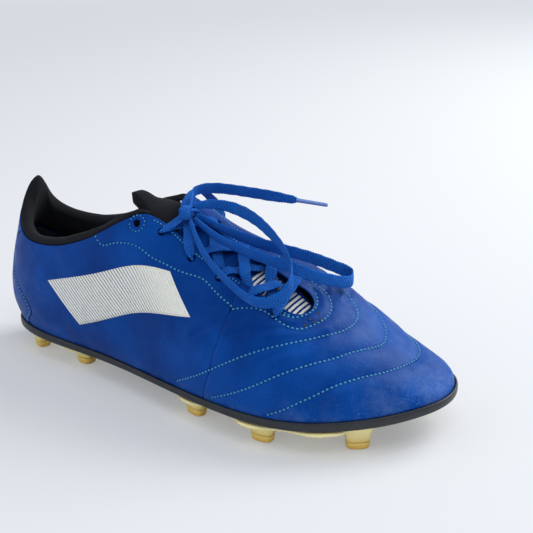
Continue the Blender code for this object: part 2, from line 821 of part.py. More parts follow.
def build_tongue_layer(name, top_height, bottom_height, widen, mat, tip):
    """Layer between two heights; its free end is the tip station, raised in the middle."""
    middle = (top_height + bottom_height) / 2
    rings = []
    for station in TONGUE_STATIONS + [tip]:
        half_width = float(TONGUE_HALF(station)) + widen
        tip_lift = 5.0 * float(ease(0, 1, (109 - station) / 12.0))
        top, bottom = [], []
        for share in np.linspace(-1, 1, 9):
            distance = share * half_width
            thinning = min(1.0, 0.45 + 1.6 * (1 - abs(share)))
            half = (top_height - bottom_height) / 2 * thinning
            lift = np.array([0, 0, tip_lift * (1 - float(ease(3.5, 10.0, abs(distance))))])
            top.append(lacing(station, distance, middle + half) + lift)
            bottom.append(lacing(station, distance, middle - half) + lift)
        rings.append(top + bottom[::-1])
    loft(name, rings, mat, origin=(TONGUE_ROOT, -16.0, 64.0))


# ---------------------------------------------------------------- side print
def build_side_print(side):
    """Slanted patch that climbs from low behind to high in front."""
    rows = []
    for share in np.linspace(0, 1, 11):
        row = []
        for across in np.linspace(0, 1, 4):
            arc = 62 + 92 * share + 26 * across * (1 - 0.25 * share)
            rise = 0.17 + 0.33 * share + (0.20 - 0.02 * share) * (1 - across)
            row.append(point(ring_at(arc, side), rise, PRINT_HEIGHT))
        rows.append(row)
    shell("side_print_" + side, [rows], PRINT_FILM, PRINT)


# ---------------------------------------------------------------- sole
# underside of the outsole: x against z
SOLE_BOTTOM = Curve([
    (-12, 13.4), (10, 13.0), (40, 12.6), (120, 12.6), (183, 13.0), (225, 13.8),
    (250, 15.4), (268, 18.0), (284, 21.8)])


def lower_edge_places():
    """Along values of the upper's columns at the sole edge, heel to toe."""
    back, front = float(quarter_back(0)), float(quarter_front(0))
    arcs = list(np.linspace(0, float(HEEL_SEAM(0)), 9))
    arcs += [back + (front - back) * share for share in TOP_SHARES[1:-1]]
    arcs.append(float(LAP(0)))
    places = [float(along_at(arc, "lateral")) for arc in arcs]
    lap = places[-1]
    places += [lap + (THROAT_END_ALONG - lap) * share for share in (*BACK_SHARES[1:4], 1.0)]
    return places + list(FRONT_ALONG[1:])


def mirror_ring(places):
    return places + [2 - along for along in places[-2:0:-1]]


LOWER_EDGE = lower_edge_places()
FULL_RING = mirror_ring(LOWER_EDGE)
HALF_RING = mirror_ring(LOWER_EDGE[:-1:2] + [1.0])


def sole_point(around, out, lift, from_bottom=False):
    """Point out from the feather line, lifted from it or from the underside of the outsole."""
    start = surface(around, 0.0)[0]
    direction = normal(around, 0.02)
    direction[2] = 0
    place = start + direction / np.linalg.norm(direction) * out
    place[2] = float((SOLE_BOTTOM if from_bottom else FEATHER_Z)(start[0])) + lift
    return place


def fill_across(bm, ring):
    """Close a ring with faces from side to side."""
    count = len(ring)
    for j in range(count // 2):
        corners = (ring[j], ring[j + 1], ring[(count - j - 1) % count], ring[(count - j) % count])
        corners = list(dict.fromkeys(corners))
        if len(corners) > 2:
            bm.faces.new(corners)


def plate(name, levels, mat, places, origin=None, nose=0.0):
    """Closed plate from nested rings (out, lift, from_bottom); nose shortens it at the toe."""
    def ring(out, *level):
        return [sole_point(around,
                           out - nose * float(ease(252, 280, surface(around, 0.0)[0, 0])),
                           *level) for around in places]

    bm = bmesh.new()
    rows = add_rings(bm, [ring(*level) for level in levels])
    fill_across(bm, rows[0])
    fill_across(bm, rows[-1])
    bmesh.ops.triangulate(bm, faces=[f for f in bm.faces if len(f.verts) > 3])
    bmesh.ops.recalc_face_normals(bm, faces=bm.faces)
    add_object(name, bm, mat, origin)


def build_outsole():
    """Floor with a lip that stands round the foot of the upper."""
    plate("outsole_plate", [
        (-2.4, -1.0), (0.6, -1.0), (0.65, 0.3), (1.7, 0.1), (1.9, -1.2),
        (1.2, 0.15, True), (-1.5, 0.0, True)], SOLE_BLACK, FULL_RING)


def build_insole_board():
    plate("insole_board", [(-5.4, 1.0), (-5.2, -0.6)], BOARD, HALF_RING, nose=3.5)


def build_sockliner():
    plate("sockliner", [(-7.2, 4.1), (-6.0, 3.2), (-6.2, 1.4)], BLACK_KNIT, HALF_RING,
          origin=(267.0, 9.0, 26.0), nose=7.5)


# ---------------------------------------------------------------- studs
# share of the way down, half length, half width
BLADE = [(0.0, 9.6, 6.6), (0.22, 8.2, 5.4), (0.6, 6.9, 4.5), (1.0, 6.4, 4.0)]
CONE = [(0.0, 8.2, 6.8), (0.22, 7.0, 5.8), (0.6, 5.9, 4.9), (1.0, 5.4, 4.5)]
STUD_SEGMENTS = 12
STUD_EXPONENT = 3.0                 # superellipse
# place: x, y, turn in radians, profile
FORE_STUDS = {
    "lateral_rear": (151.0, -41.0, -0.30, BLADE),
    "lateral_mid": (198.0, -47.5, 0.0, BLADE),
    "lateral_front": (245.0, -29.5, 0.62, BLADE),
    "medial_rear": (157.0, 31.0, 0.13, BLADE),
    "medial_mid": (205.0, 38.0, 0.05, BLADE),
    "medial_front": (249.0, 31.5, -0.38, BLADE),
    "centre": (226.0, 0.5, 0.0, CONE),
}
HEEL_STUDS = {
    "lateral_rear": (14.0, -15.5, -0.55, CONE),
    "lateral_front": (55.0, -21.0, -0.10, CONE),
    "medial_rear": (14.0, 13.5, 0.50, CONE),
    "medial_front": (55.0, 18.5, 0.06, CONE),
}
# arc against inset of the stud plate from the feather line
FORE_INSETS = {
    "lateral": Curve([
        (144, 20), (156, 13), (166, 4.0), (174, 1.6), (182, 3.2), (192, 9), (202, 7.0),
        (212, 1.8), (222, 1.2), (236, 4.0), (250, 2.0), (264, 1.2), (274, 4.0), (284, 12)]),
    "medial": Curve([
        (144, 20), (156, 12), (166, 4.5), (178, 1.8), (188, 4.0), (198, 9), (208, 7.0),
        (220, 2.2), (230, 1.6), (242, 5.0), (256, 2.6), (268, 1.6), (277, 5.0), (284, 12)]),
}
HEEL_INSET = Curve([
    (14, 9), (20, 5.0), (30, 3.0), (42, 4.2), (58, 5.2), (72, 3.0), (82, 4.0), (92, 11)])
HEEL_INSETS = {"lateral": HEEL_INSET, "medial": HEEL_INSET}


def stud_section(stud, z, half_length, half_width):
    x, y, turn, _ = stud
    power = 2 / STUD_EXPONENT
    ring = []
    for k in range(STUD_SEGMENTS):
        angle = 2 * pi * k / STUD_SEGMENTS
        cosine, sine = cos(angle), sin(angle)
        ahead = half_length * abs(cosine) ** power * (1 if cosine >= 0 else -1)
        aside = half_width * abs(sine) ** power * (1 if sine >= 0 else -1)
        ring.append((x + ahead * cos(turn) - aside * sin(turn),
                     y + ahead * sin(turn) + aside * cos(turn), z))
    return ring


def stud_body(stud):
    """Rings of a stud down to its tip; the root follows the sole's curve."""
    end = STUD_TIP_TOP + TIP_OVERLAP
    rings = []
    for share, half_length, half_width in stud[3]:
        ring = []
        for x, y, _ in stud_section(stud, 0.0, half_length, half_width):
            root = float(SOLE_BOTTOM(x)) - 1.0
            ring.append((x, y, root + (end - root) * share))
        rings.append(ring)
    return rings


def build_stud_tips(prefix, studs):
    for place, stud in studs.items():
        _, length, width = stud[3][-1]
        rings = [
            stud_section(stud, STUD_TIP_TOP, length, width),
            stud_section(stud, 0.9, length * 0.94, width * 0.92),
            stud_section(stud, 0.0, length * 0.84, width * 0.78),
        ]
        loft("stud_tip_" + prefix + "_" + place, rings, AMBER)


def build_stud_plate(name, arcs, insets, studs):
    """Sheet under the outsole with the stud bodies joined to it."""
    grid = []
    for arc in arcs:
        lateral, medial = [
            sole_point(ring_at(arc, side), -float(insets[side](arc)), -0.65, True)
            for side in SIDES]
        grid.append([lateral * (1 - share) + medial * share for share in np.linspace(0, 1, 5)])
    ob = shell(name, [grid], STUD_SHEET, CREAM, outward=straight_up)
    bm = bmesh.new()
    for stud in studs.values():
        add_caps(bm, add_rings(bm, stud_body(stud)))
    bmesh.ops.recalc_face_normals(bm, faces=bm.faces)
    combine(ob, add_cutter(name + "_studs", bm), "UNION")


# ---------------------------------------------------------------- laces on the throat
def ribbon(name, points, directions, widths, origin=None):
    """Flat lace through points; directions run across it, two steps to a span."""
    points = np.array(points, float)
    directions = np.array(directions, float)
    lengths = np.linalg.norm(np.diff(points, axis=0), axis=1)
    knots = np.concatenate([[0], np.cumsum(lengths)])
    query = np.concatenate([[a, (a + b) / 2] for a, b in zip(knots, knots[1:])] + [knots[-1:]])
    path = eval_spline(knots, points, fit_spline(knots, points), query)
    tangent = np.gradient(path, query, axis=0)
    across = np.stack([np.interp(query, knots, directions[:, k]) for k in range(3)], -1)
    # keep only the part square to the path
    share = (across * tangent).sum(1) / (tangent * tangent).sum(1)
    across -= tangent * share[:, None]
    across /= np.linalg.norm(across, axis=1)[:, None]
    half = np.interp(query, knots, widths)[:, None] / 2
    grid = np.stack([path - across * half, path + across * half], 1)
    ob = add_object(name, grid_mesh([grid]), LACE, origin)
    add_thickness(ob, LACE_THICK, offset=0.0)


def strand(name, legs):
    """Lace on the instep; legs are (station, distance from lacing line, height, width)."""
    points = [lacing(*leg[:3]) for leg in legs]
    instep_up = np.array([0.25, -0.15, 1.0])
    directions = []
    for i in range(len(points)):
        span = points[min(len(points) - 1, i + 1)] - points[max(0, i - 1)]
        across = np.cross(span, instep_up)
        directions.append(across / np.linalg.norm(across))
    ribbon(name, points, directions, [leg[3] for leg in legs])


def build_lace_bar():
    """Lowest bar: over both throat edges and down into the last pair of eyelets."""
    station = EYE_STATIONS[5]
    half = [(0.0, -0.9, 2.6), (0.9, 0.75, 2.8), (3.0, 1.25, 5.0), (6.5, 1.3, 6.2)]
    lateral = -(edge_distance(5, "lateral") + EYE_SETBACK)
    medial = edge_distance(5, "medial") + EYE_SETBACK
    legs = [(station, lateral + inward, height, width) for inward, height, width in half]
    legs.append((station, 0.0, 1.2, 6.2))
    legs += [(station, medial - inward, height, width) for inward, height, width in half[::-1]]
    strand("lace_bar", legs)


# Paths of one lace across the throat. near and far are the distances of the leather edges;
# high is true for the strand that passes on top. Columns: share of the way to the next
# eyelet, distance towards the starting side, height, width.
def under_to_over(near, far, high):
    """From under the near edge, over the far edge and into its eyelet."""
    eye = far + EYE_SETBACK
    return [
        (0.10, near + 0.2, -3.75, 3.4),
        (0.22, near - 2.6, -3.5, 4.8),
        (0.36, near * 0.42, -0.7 if high else -3.2, 5.6),
        (0.50, 0.0, -0.4 if high else -3.0, 5.8),
        (0.64, -far * 0.42, 0.3 if high else -2.6, 5.8),
        (0.80, 0.8 - far, 1.5 if high else 1.45, 5.6),
        (0.88, -far - 1.6, 1.45, 5.0),
        (0.96, 0.9 - eye, 0.75, 2.8),
        (1.0, -eye, -0.9, 2.3),
    ]


def under_to_under(near, far, high):
    """From under one edge to under the other."""
    height = -1.9 if high else -3.85
    return [
        (0.10, near + 0.2, -3.75, 3.4),
        (0.30, near - 4.2, height, 5.4),
        (0.50, 0.0, -1.0 if high else -3.7, 5.8),
        (0.70, 4.2 - far, height, 5.4),
        (0.90, -far - 0.2, -3.75, 3.4),
    ]


def over_to_over(near, far, high):
    """Out of one eyelet, across on top, and down into the other."""
    near_eye = near + EYE_SETBACK
    far_eye = far + EYE_SETBACK
    height = 1.4 if high else 0.75
    return [
        (0.0, near_eye, -0.9, 2.3),
        (0.04, near_eye - 0.9, 0.75, 2.8),
        (0.14, near + 1.8, 1.8, 5.0),
        (0.26, near * 0.75, height, 5.8),
        (0.50, 0.0, 1.2 if high else -2.0, 5.8),
        (0.74, -far * 0.75, height, 5.8),
        (0.86, -far - 1.8, 1.8, 5.0),
        (0.96, 0.9 - far_eye, 0.75, 2.8),
        (1.0, -far_eye, -0.9, 2.3),
    ]


# name ending, path, eyelet it leaves, eyelet it reaches, starting side, on top
CROSSINGS = [
    ("1a", under_to_over, 5, 4, "lateral", False),
    ("1b", under_to_over, 5, 4, "medial", True),
    ("2a", under_to_over, 4, 3, "medial", False),
    ("2b", under_to_over, 4, 3, "lateral", True),
    ("3a", under_to_under, 3, 2, "lateral", False),
    ("3b", under_to_under, 3, 2, "medial", True),
    ("4a", over_to_over, 2, 1, "medial", False),
    ("4b", over_to_over, 2, 1, "lateral", True),
]


def build_crossing(ending, path, start_eye, end_eye, side, high):
    sign, other = (-1, "medial") if side == "lateral" else (1, "lateral")
    start, end = EYE_STATIONS[start_eye], EYE_STATIONS[end_eye]
    near, far = edge_distance(start_eye, side), edge_distance(end_eye, other)
    strand("lace_cross_" + ending,
           [(start + (end - start) * share, sign * distance, height, width)
            for share, distance, height, width in path(near, far, high)])


# ---------------------------------------------------------------- knot, bow and lace ends
def build_knot():
    """Rounded lump with a slight ripple."""
    bm = bmesh.new()
    bmesh.ops.create_uvsphere(bm, u_segments=12, v_segments=8, radius=1.0)
    along, across, up = KNOT_RADII
    for vert in bm.verts:
        x, y, z = vert.co
        ripple = 1 + 0.10 * sin(3 * np.arctan2(z, x) + 2 * y)
        vert.co = Vector((along * x * ripple, across * y, up * z * ripple)) * MM
    ob = add_object("lace_knot", bm, LACE)
    ob.location = Vector(to_metres(KNOT))


# name: points, widths, direction across the lace
FREE_LACES = {
    "bow_loop_lateral": (
        [(136.4, -8.5, 110.6), (141.5, -3.0, 110.4), (148.5, 0.5, 109.0), (157, 1.2, 106.8),
         (176.2, -5.9, 102.4), (191.0, -14.0, 96.4), (200.5, -21.0, 88.4),
         (202.2, -27.0, 80.0), (197.0, -32.6, 73.8), (186.5, -35.0, 72.2),
         (175.0, -34.0, 76.0), (161.6, -30.8, 82.4), (150.5, -26.6, 88.6),
         (143.2, -23.0, 94.6), (137.8, -19.4, 99.8)],
        [3.0, 4.5, 6] + [LACE_WIDTH] * 9 + [6.2, 5.0, 3.2],
        (0, 0, 1)),
    "bow_loop_medial": (
        [(138.4, -10.8, 103.6), (146, -11.0, 101.0), (155, -10.6, 98.6), (168.6, -8.0, 94.6),
         (185.4, 0.0, 89.4), (199.5, 8.5, 84.0), (209.5, 15.5, 78.6), (216.2, 18.4, 75.0),
         (219.4, 13.0, 74.0), (213.4, 1.0, 76.8), (204.2, -6.4, 80.8), (196.2, -9.9, 84.2),
         (178, -15.4, 89.2), (163, -16.8, 93.0), (150.5, -16.4, 96.8), (139.8, -15.0, 101.6)],
        [3.0, 4.0, 5.6] + [LACE_WIDTH] * 10 + [5.6, 4.0, 3.0],
        (0, 0, 1)),
    "lace_end_front": (
        [(129.6, -8.2, 111.2), (127.4, -2.2, 114.2), (131.4, 4.6, 115.2),
         (144.3, 13.2, 114.0), (163.6, 22.8, 110.9), (174.5, 27.8, 109.2)],
        [3.0, 4.8] + [LACE_WIDTH] * 3 + [5.6],
        (0, 0, 1)),
    "lace_end_back": (
        [(125.0, -8.6, 107.8), (123.0, -1.5, 110.6), (121.6, 8.0, 111.6),
         (121.0, 17.0, 108.8), (121.0, 26.0, 101.4), (121.6, 34.5, 90.4)],
        [3.0, 4.6, 6.2, LACE_WIDTH, LACE_WIDTH, 5.4],
        (0.9, 0.3, 0)),
}


def build_aglet(name, start, end):
    """Tapered rod on the end of a lace."""
    curve = bpy.data.curves.new(name, "CURVE")
    curve.dimensions = "3D"
    curve.bevel_depth = AGLET_RADIUS * MM
    curve.bevel_resolution = 2
    curve.use_fill_caps = True
    taper = [(0, 1.0), (0.33, 0.97), (0.66, 0.95), (1, 0.86)]   # share of length, scale
    spline = curve.splines.new("POLY")
    spline.points.add(len(taper) - 1)
    start, end = np.array(start), np.array(end)
    for spot, (share, scale) in zip(spline.points, taper):
        spot.co = (*((start + (end - start) * share - KNOT) * MM), 1)
        spot.radius = scale
    ob = bpy.data.objects.new(name, curve)
    ob.location = Vector(to_metres(KNOT))
    shoe_collection.objects.link(ob)
    curve.materials.append(AGLET)


# ---------------------------------------------------------------- assembly
def build_upper():
    build_heel_panel()
    for side in SIDES:
        build_quarter(side)
    build_vamp()
    build_heel_counter()
    build_toe_puff()
    for side in SIDES:
        build_facing(side)
    build_quarter_lining()
    build_vamp_lining()
    build_collar()
    build_tongue_layer("tongue", top_height=-5.4, bottom_height=-8.1, widen=0.0,
                       mat=BLUE, tip=97.0)
    build_tongue_layer("tongue_lining", top_height=-8.6, bottom_height=-9.4, widen=-2.5,
                       mat=LINER, tip=107.0)
    for side in SIDES:
        build_side_print(side)


def build_sole():
    build_outsole()
    build_insole_board()
    build_sockliner()
    build_stud_tips("fore", FORE_STUDS)
    build_stud_tips("heel", HEEL_STUDS)
    build_stud_plate("forefoot_stud_plate", np.linspace(146, 276, 21), FORE_INSETS, FORE_STUDS)
    build_stud_plate("heel_stud_plate", np.linspace(12, 92, 14), HEEL_INSETS, HEEL_STUDS)


def build_laces():
    build_lace_bar()
    for crossing in CROSSINGS:
        build_crossing(*crossing)
    build_knot()
    for name, (points, widths, across) in FREE_LACES.items():
        ribbon(name, points, [across] * len(points), widths, origin=KNOT)
    build_aglet("aglet_front", (176.2, 28.6, 108.9), (192.5, 35.8, 106.4))
    build_aglet("aglet_back", (121.7, 35.5, 89.0), (122.6, 42.6, 76.0))


build_upper()
build_sole()
build_laces()
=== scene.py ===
"""A soccer cleat: leather upper with quilted toe, padded knit collar, tongue, woven laces tied in a
bow, moulded outsole and studs.

Shapes are in millimetres in the lasting frame: +X heel to toe, +Y inner (medial) side, Z = 0 at the
stud tips. to_frame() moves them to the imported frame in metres. Places on the last have surface
coordinates:
  turn  0 heel centre, 0..1 outer (lateral) side, 1 toe tip, 1..2 inner (medial) side
  rise  0 at the sole edge, 1 on the lacing line
  half  0 heel to 1 toe on either side, so turn = half (lateral) or 2 - half (medial)
  arc   millimetres along the sole edge from the heel centre
"""
from math import cos, pi, radians, sin

import bmesh
import bpy
import numpy as np
from mathutils import Matrix, Vector, kdtree, noise


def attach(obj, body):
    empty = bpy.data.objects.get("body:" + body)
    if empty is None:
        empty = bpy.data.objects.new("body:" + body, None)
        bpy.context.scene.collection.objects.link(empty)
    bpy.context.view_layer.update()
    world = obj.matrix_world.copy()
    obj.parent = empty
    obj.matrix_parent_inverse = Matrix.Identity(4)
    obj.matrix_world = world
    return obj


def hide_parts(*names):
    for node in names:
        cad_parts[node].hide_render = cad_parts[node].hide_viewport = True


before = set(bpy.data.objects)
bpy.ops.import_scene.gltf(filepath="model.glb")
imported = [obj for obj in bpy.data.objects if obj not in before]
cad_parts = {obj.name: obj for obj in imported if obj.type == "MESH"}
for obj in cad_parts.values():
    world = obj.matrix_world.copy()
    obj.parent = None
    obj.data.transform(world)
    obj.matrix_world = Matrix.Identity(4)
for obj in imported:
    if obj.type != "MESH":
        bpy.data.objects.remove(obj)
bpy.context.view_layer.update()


# ================================================================ sizes, mm
MM = 0.001                      # metres in a millimetre
ORIGIN = (135.83, -4.1045, 0.0)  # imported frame's origin in the lasting frame
SIDES = ("lateral", "medial")
LEATHER = 1.2
SEAM = 0.5
LAP_SINK = 1.15                 # how far a panel's hidden edge sinks under its neighbour
EYE_RADIUS = 2.4
EYE_INSET = 5.6                 # eyelet centre from the leather edge
EYE_X = (103.5, 119.5, 141.0, 160.0, 179.0, 196.0)
THROAT_END = 210.5
THROAT_RADIUS = 9.0
TIP_TOP = 3.9                   # top of the amber stud tips
STUD_END = TIP_TOP + 0.3        # lower end of the cream studs
KNOT = np.array([131.0, -14.0, 106.4])


# ================================================================ arithmetic helpers
def spline_fit(knots, values, periodic=False):
    """Second derivatives of the cubic spline through values, (n,) or (n, k), at the knots."""
    knots = np.asarray(knots, float)
    values = np.asarray(values, float)
    count = len(knots)
    gap = np.diff(knots)
    slope = np.diff(values, axis=0) / gap.reshape((-1,) + (1,) * (values.ndim - 1))
    matrix = np.zeros((count, count))
    right = np.zeros(values.shape)
    for i in range(1, count - 1):
        matrix[i, i - 1:i + 2] = gap[i - 1], 2 * (gap[i - 1] + gap[i]), gap[i]
    right[1:-1] = 6 * (slope[1:] - slope[:-1])
    matrix[0, 0] = matrix[-1, -1] = 1
    if periodic:
        matrix[0, 0] = 2 * (gap[0] + gap[-1])
        matrix[0, 1] = gap[0]
        matrix[0, -2] = gap[-1]
        right[0] = 6 * (slope[0] - slope[-1])
        matrix[-1, 0] = -1
    return np.linalg.solve(matrix, right)


def spline_eval(knots, values, second, places):
    knots = np.asarray(knots, float)
    places = np.asarray(places, float)
    i = np.clip(np.searchsorted(knots, places, side="right") - 1, 0, len(knots) - 2)
    gap = knots[i + 1] - knots[i]
    shape = gap.shape + (1,) * (values.ndim - 1)
    low = ((knots[i + 1] - places) / gap).reshape(shape)
    high = ((places - knots[i]) / gap).reshape(shape)
    bend = (low**3 - low) * second[i] + (high**3 - high) * second[i + 1]
    return low * values[i] + high * values[i + 1] + bend * gap.reshape(shape)**2 / 6


class Curve:
    """Natural cubic through (x, y) knots, flat outside them."""
    def __init__(self, points):
        self.x, self.y = np.array(points, float).T
        self.second = spline_fit(self.x, self.y)

    def __call__(self, x):
        x = np.clip(np.asarray(x, float), self.x[0], self.x[-1])
        return spline_eval(self.x, self.y, self.second, x)


def ease(start, end, x):
    """Smooth step from 0 at start to 1 at end."""
    share = np.clip((np.asarray(x, float) - start) / (end - start), 0, 1)
    return share * share * (3 - 2 * share)


def bell(distance, width):
    return np.exp(-(distance / width) ** 2)


def unit(vectors):
    return vectors / np.maximum(np.linalg.norm(vectors, axis=-1, keepdims=True), 1e-9)


def length_along(points):
    """Length from the first point of a line to each of its points."""
    steps = np.linalg.norm(np.diff(points, axis=0), axis=1)
    return np.concatenate([[0], np.cumsum(steps)])


def interp_rows(places, at, rows):
    return np.stack([np.interp(places, at, column) for column in rows.T], -1)


def plane_axes(normal):
    """Two unit directions square to the normal and to each other."""
    first = unit(np.cross(normal, (0, 0, 1.0)))
    return first, np.cross(normal, first)


def fractal(points, scale, seed, octaves):
    """Smooth noise at the points, with features about `scale` mm wide."""
    values = [noise.fractal(Vector((p[0] / scale + seed, p[1] / scale, p[2] / scale)),
                            1.0, 2.0, octaves) for p in points.reshape(-1, 3)]
    return np.array(values).reshape(points.shape[:-1])


def kd_tree(points):
    tree = kdtree.KDTree(len(points))
    for k, point in enumerate(points):
        tree.insert(Vector(point), k)
    tree.balance()
    return tree


def distance_to(cloud):
    """A function giving each point's distance to the nearest point of the cloud."""
    tree = kd_tree(cloud)
    return lambda points: np.array([tree.find(Vector(p))[2] for p in points])


# ================================================================ the last
# stations: spine x, lateral sole edge (x, y), medial sole edge (x, y)
STATIONS = [
    (16, (-6, 0), (-6, 0)),
    (18, (-1.5, -14.0), (-1.5, 13.2)),
    (26, (14, -24.8), (13, 23.2)),
    (48, (44, -31), (43, 28.8)),
    (80, (80, -34.5), (78, 31.5)),
    (110, (110, -40), (108, 34)),
    (140, (140, -47), (138, 38)),
    (170, (170, -53.0), (168, 43)),
    (197, (198, -55.5), (196, 46.5)),
    (219, (224, -51.0), (222, 47)),
    (236, (247, -39), (245, 43)),
    (246, (265.5, -24.5), (266, 34)),
    (251, (278.5, -9), (277, 22.5)),
    (253, (282.0, 6.5), (282.0, 6.5)),
]
# spine height and sideways place against x
SPINE_Z = Curve([
    (0, 121), (40, 120), (80, 118), (95, 116), (110, 111), (128, 103.5), (150, 95.5), (175, 86.5),
    (200, 75.8), (220, 63.8), (236, 51.8), (246, 44.6), (253, 40.0), (256, 38.2)])
SPINE_Y = Curve([
    (0, 0), (80, 0), (110, 1), (140, 1), (170, 2), (200, 4.5), (225, 7.5), (245, 8.0), (253, 7.5)])
# sole edge height against x
EDGE_Z = Curve([
    (0, 18), (25, 17.2), (60, 16.5), (110, 16), (150, 16.4), (185, 17.1), (215, 17.9), (240, 19.3),
    (262, 21.8), (283, 25.6)])
# superellipse exponent of the section against spine x
ROUNDNESS = {
    "lateral": Curve([(80, 2.5), (110, 2.3), (140, 2.05), (170, 1.9), (197, 1.82), (219, 1.85),
                      (236, 1.98), (246, 2.1), (253, 2.2)]),
    "medial": Curve([(80, 2.5), (110, 2.4), (140, 2.25), (170, 2.15), (197, 2.0), (219, 1.88),
                     (236, 1.88), (246, 2.0), (253, 2.2)]),
}
BULGE = Curve([(80, 3.2), (110, 2.2), (140, 1.5), (170, 1.8), (197, 2.4), (219, 2.4), (236, 2.0),
               (246, 1.6), (253, 1.4)])
# inward lean of the heel wall against height, at the back and at the sides
HEEL_BACK = Curve([(17, 0), (22, -2.6), (31, -5.6), (40, -6.2), (48, -5.4), (62, -2.0), (77, 2.4),
                   (94, 7.4), (107, 11.5), (121, 17)])
HEEL_SIDE = Curve([(17, 0), (24, -2.2), (34, -3.9), (46, -3.6), (60, -1.8), (74, 1.0), (90, 4.8),
                   (107, 9.5), (121, 14)])
# y of the lacing line against x; it runs outside the ridge and joins it again at the toe
LACING_Y = Curve([(60, -2), (85, -5), (103, -9), (118, -12), (142, -15), (165, -17.5), (185, -18.3),
                  (205, -17), (222, -11), (236, -3.0), (246, 3.0), (253, 7.5)])
SECTION_POINTS = 9                       # from the sole edge to the lacing line
ACROSS_POINTS = 2 * SECTION_POINTS - 1   # from one sole edge to the other


def side_profile(station, spine_x, edge, side):
    """Dense section from a sole edge point up to the ridge."""
    edge = np.array(edge, float)
    way = np.array([spine_x, float(SPINE_Y(spine_x))]) - edge
    reach = np.hypot(*way)
    way = np.array([1.0, 0.0]) if station == 0 else way / reach
    low = float(EDGE_Z(edge[0]))
    high = float(SPINE_Z(spine_x))
    power = 2 / float(ROUNDNESS[side](spine_x))
    share = np.linspace(0, 1, 81)
    angle = share * pi / 2
    cosine = np.cos(angle)
    cosine[-1] = 0.0
    inward = reach * (1 - np.maximum(cosine, 0) ** power)
    inward -= float(BULGE(spine_x)) * np.sin(np.minimum(pi, 2.2 * angle)) * (1 - share)
    # towards the toe the section arrives on the ridge with part of the ridge's own slope
    ridge_slope = float(SPINE_Z(spine_x + 1) - SPINE_Z(spine_x - 1)) / 2
    slope = 0.6 * ridge_slope * way[0] * float(ease(215, 246, spine_x))
    z = low + (high - low - slope * reach) * np.sin(angle) ** power + slope * inward
    sideways = ease(0, 26, abs(edge[1]))
    heel = (1 - sideways) * HEEL_BACK(z) + sideways * HEEL_SIDE(z)
    heel_share = 1 - ease(78, 118, edge[0])
    inward = heel_share * heel + (1 - heel_share) * inward
    return np.stack([edge[0] + way[0] * inward, edge[1] + way[1] * inward, z], -1)


def resample(points, count):
    along = length_along(points)
    return interp_rows(np.linspace(0, along[-1], count), along, points)


def build_ring():
    """Sections round the shoe, from the heel over the lateral side and back to the heel."""
    lateral, medial = [], []
    for k, (spine_x, outer_edge, inner_edge) in enumerate(STATIONS):
        outer = side_profile(k, spine_x, outer_edge, "lateral")
        inner = side_profile(k, spine_x, inner_edge, "medial")
        # from the throat on, the two sides meet on the lacing line instead of the ridge
        if spine_x >= 105 and k < len(STATIONS) - 1:
            cut = int(np.argmax(outer[:, 1] >= float(LACING_Y(spine_x))))
            inner = np.concatenate([inner, outer[cut:-1][::-1]])
            outer = outer[:cut + 1]
        lateral.append(resample(outer, SECTION_POINTS))
        medial.append(resample(inner, SECTION_POINTS))
    ring = np.concatenate([lateral, medial[-2:0:-1], lateral[:1]])
    return ring.reshape(len(ring), -1)


def station_turns():
    steps = [np.hypot(*np.diff(np.array([s[k] for s in STATIONS], float), axis=0).T)
             for k in (1, 2)]
    halves = np.concatenate([[0], np.cumsum(steps[0] + steps[1])])
    halves = halves / halves[-1]
    return np.concatenate([halves, 2 - halves[-2:0:-1], [2.0]])


RING = build_ring()
RING_TURNS = station_turns()
RING_SECOND = spline_fit(RING_TURNS, RING, periodic=True)
# turns the values of a section's points into the second derivatives of their spline
ACROSS_FIT = spline_fit(np.linspace(0, 1, ACROSS_POINTS), np.eye(ACROSS_POINTS))


def surface(turn, rise):
    """Points of the last."""
    turn, rise = np.broadcast_arrays(np.atleast_1d(np.asarray(turn, float)),
                                     np.atleast_1d(np.asarray(rise, float)))
    shape = turn.shape
    turn = turn.ravel() % 2.0
    rise = rise.ravel()
    half = np.where(turn <= 1, turn, 2 - turn)

    def section(place):
        points = spline_eval(RING_TURNS, RING, RING_SECOND, place)
        return points.reshape(-1, SECTION_POINTS, 3)

    rows = np.concatenate([section(half), section(2 - half)[:, -2::-1]], axis=1)
    second = np.einsum("ij,njk->nik", ACROSS_FIT, rows)
    place = np.where(turn <= 1, rise / 2, 1 - rise / 2)
    i = np.clip((place * (ACROSS_POINTS - 1)).astype(int), 0, ACROSS_POINTS - 2)
    step = 1.0 / (ACROSS_POINTS - 1)
    low = (((i + 1) * step - place) / step)[:, None]
    high = 1 - low
    k = np.arange(len(place))
    bend = (low**3 - low) * second[k, i] + (high**3 - high) * second[k, i + 1]
    return (low * rows[k, i] + high * rows[k, i + 1] + bend * step * step / 6).reshape(shape + (3,))


def cross_normal(turn, rise, step=1e-3):
    """Unit normal of unknown sign."""
    along = surface(turn + step, rise) - surface(turn - step, rise)
    upward = surface(turn, np.clip(rise + step, 0, 1)) - surface(turn, np.clip(rise - step, 0, 1))
    return unit(np.cross(along, upward))


# the lateral side faces -Y
NORMAL_SIGN = -1 if cross_normal(0.5, 0.4)[0, 1] > 0 else 1


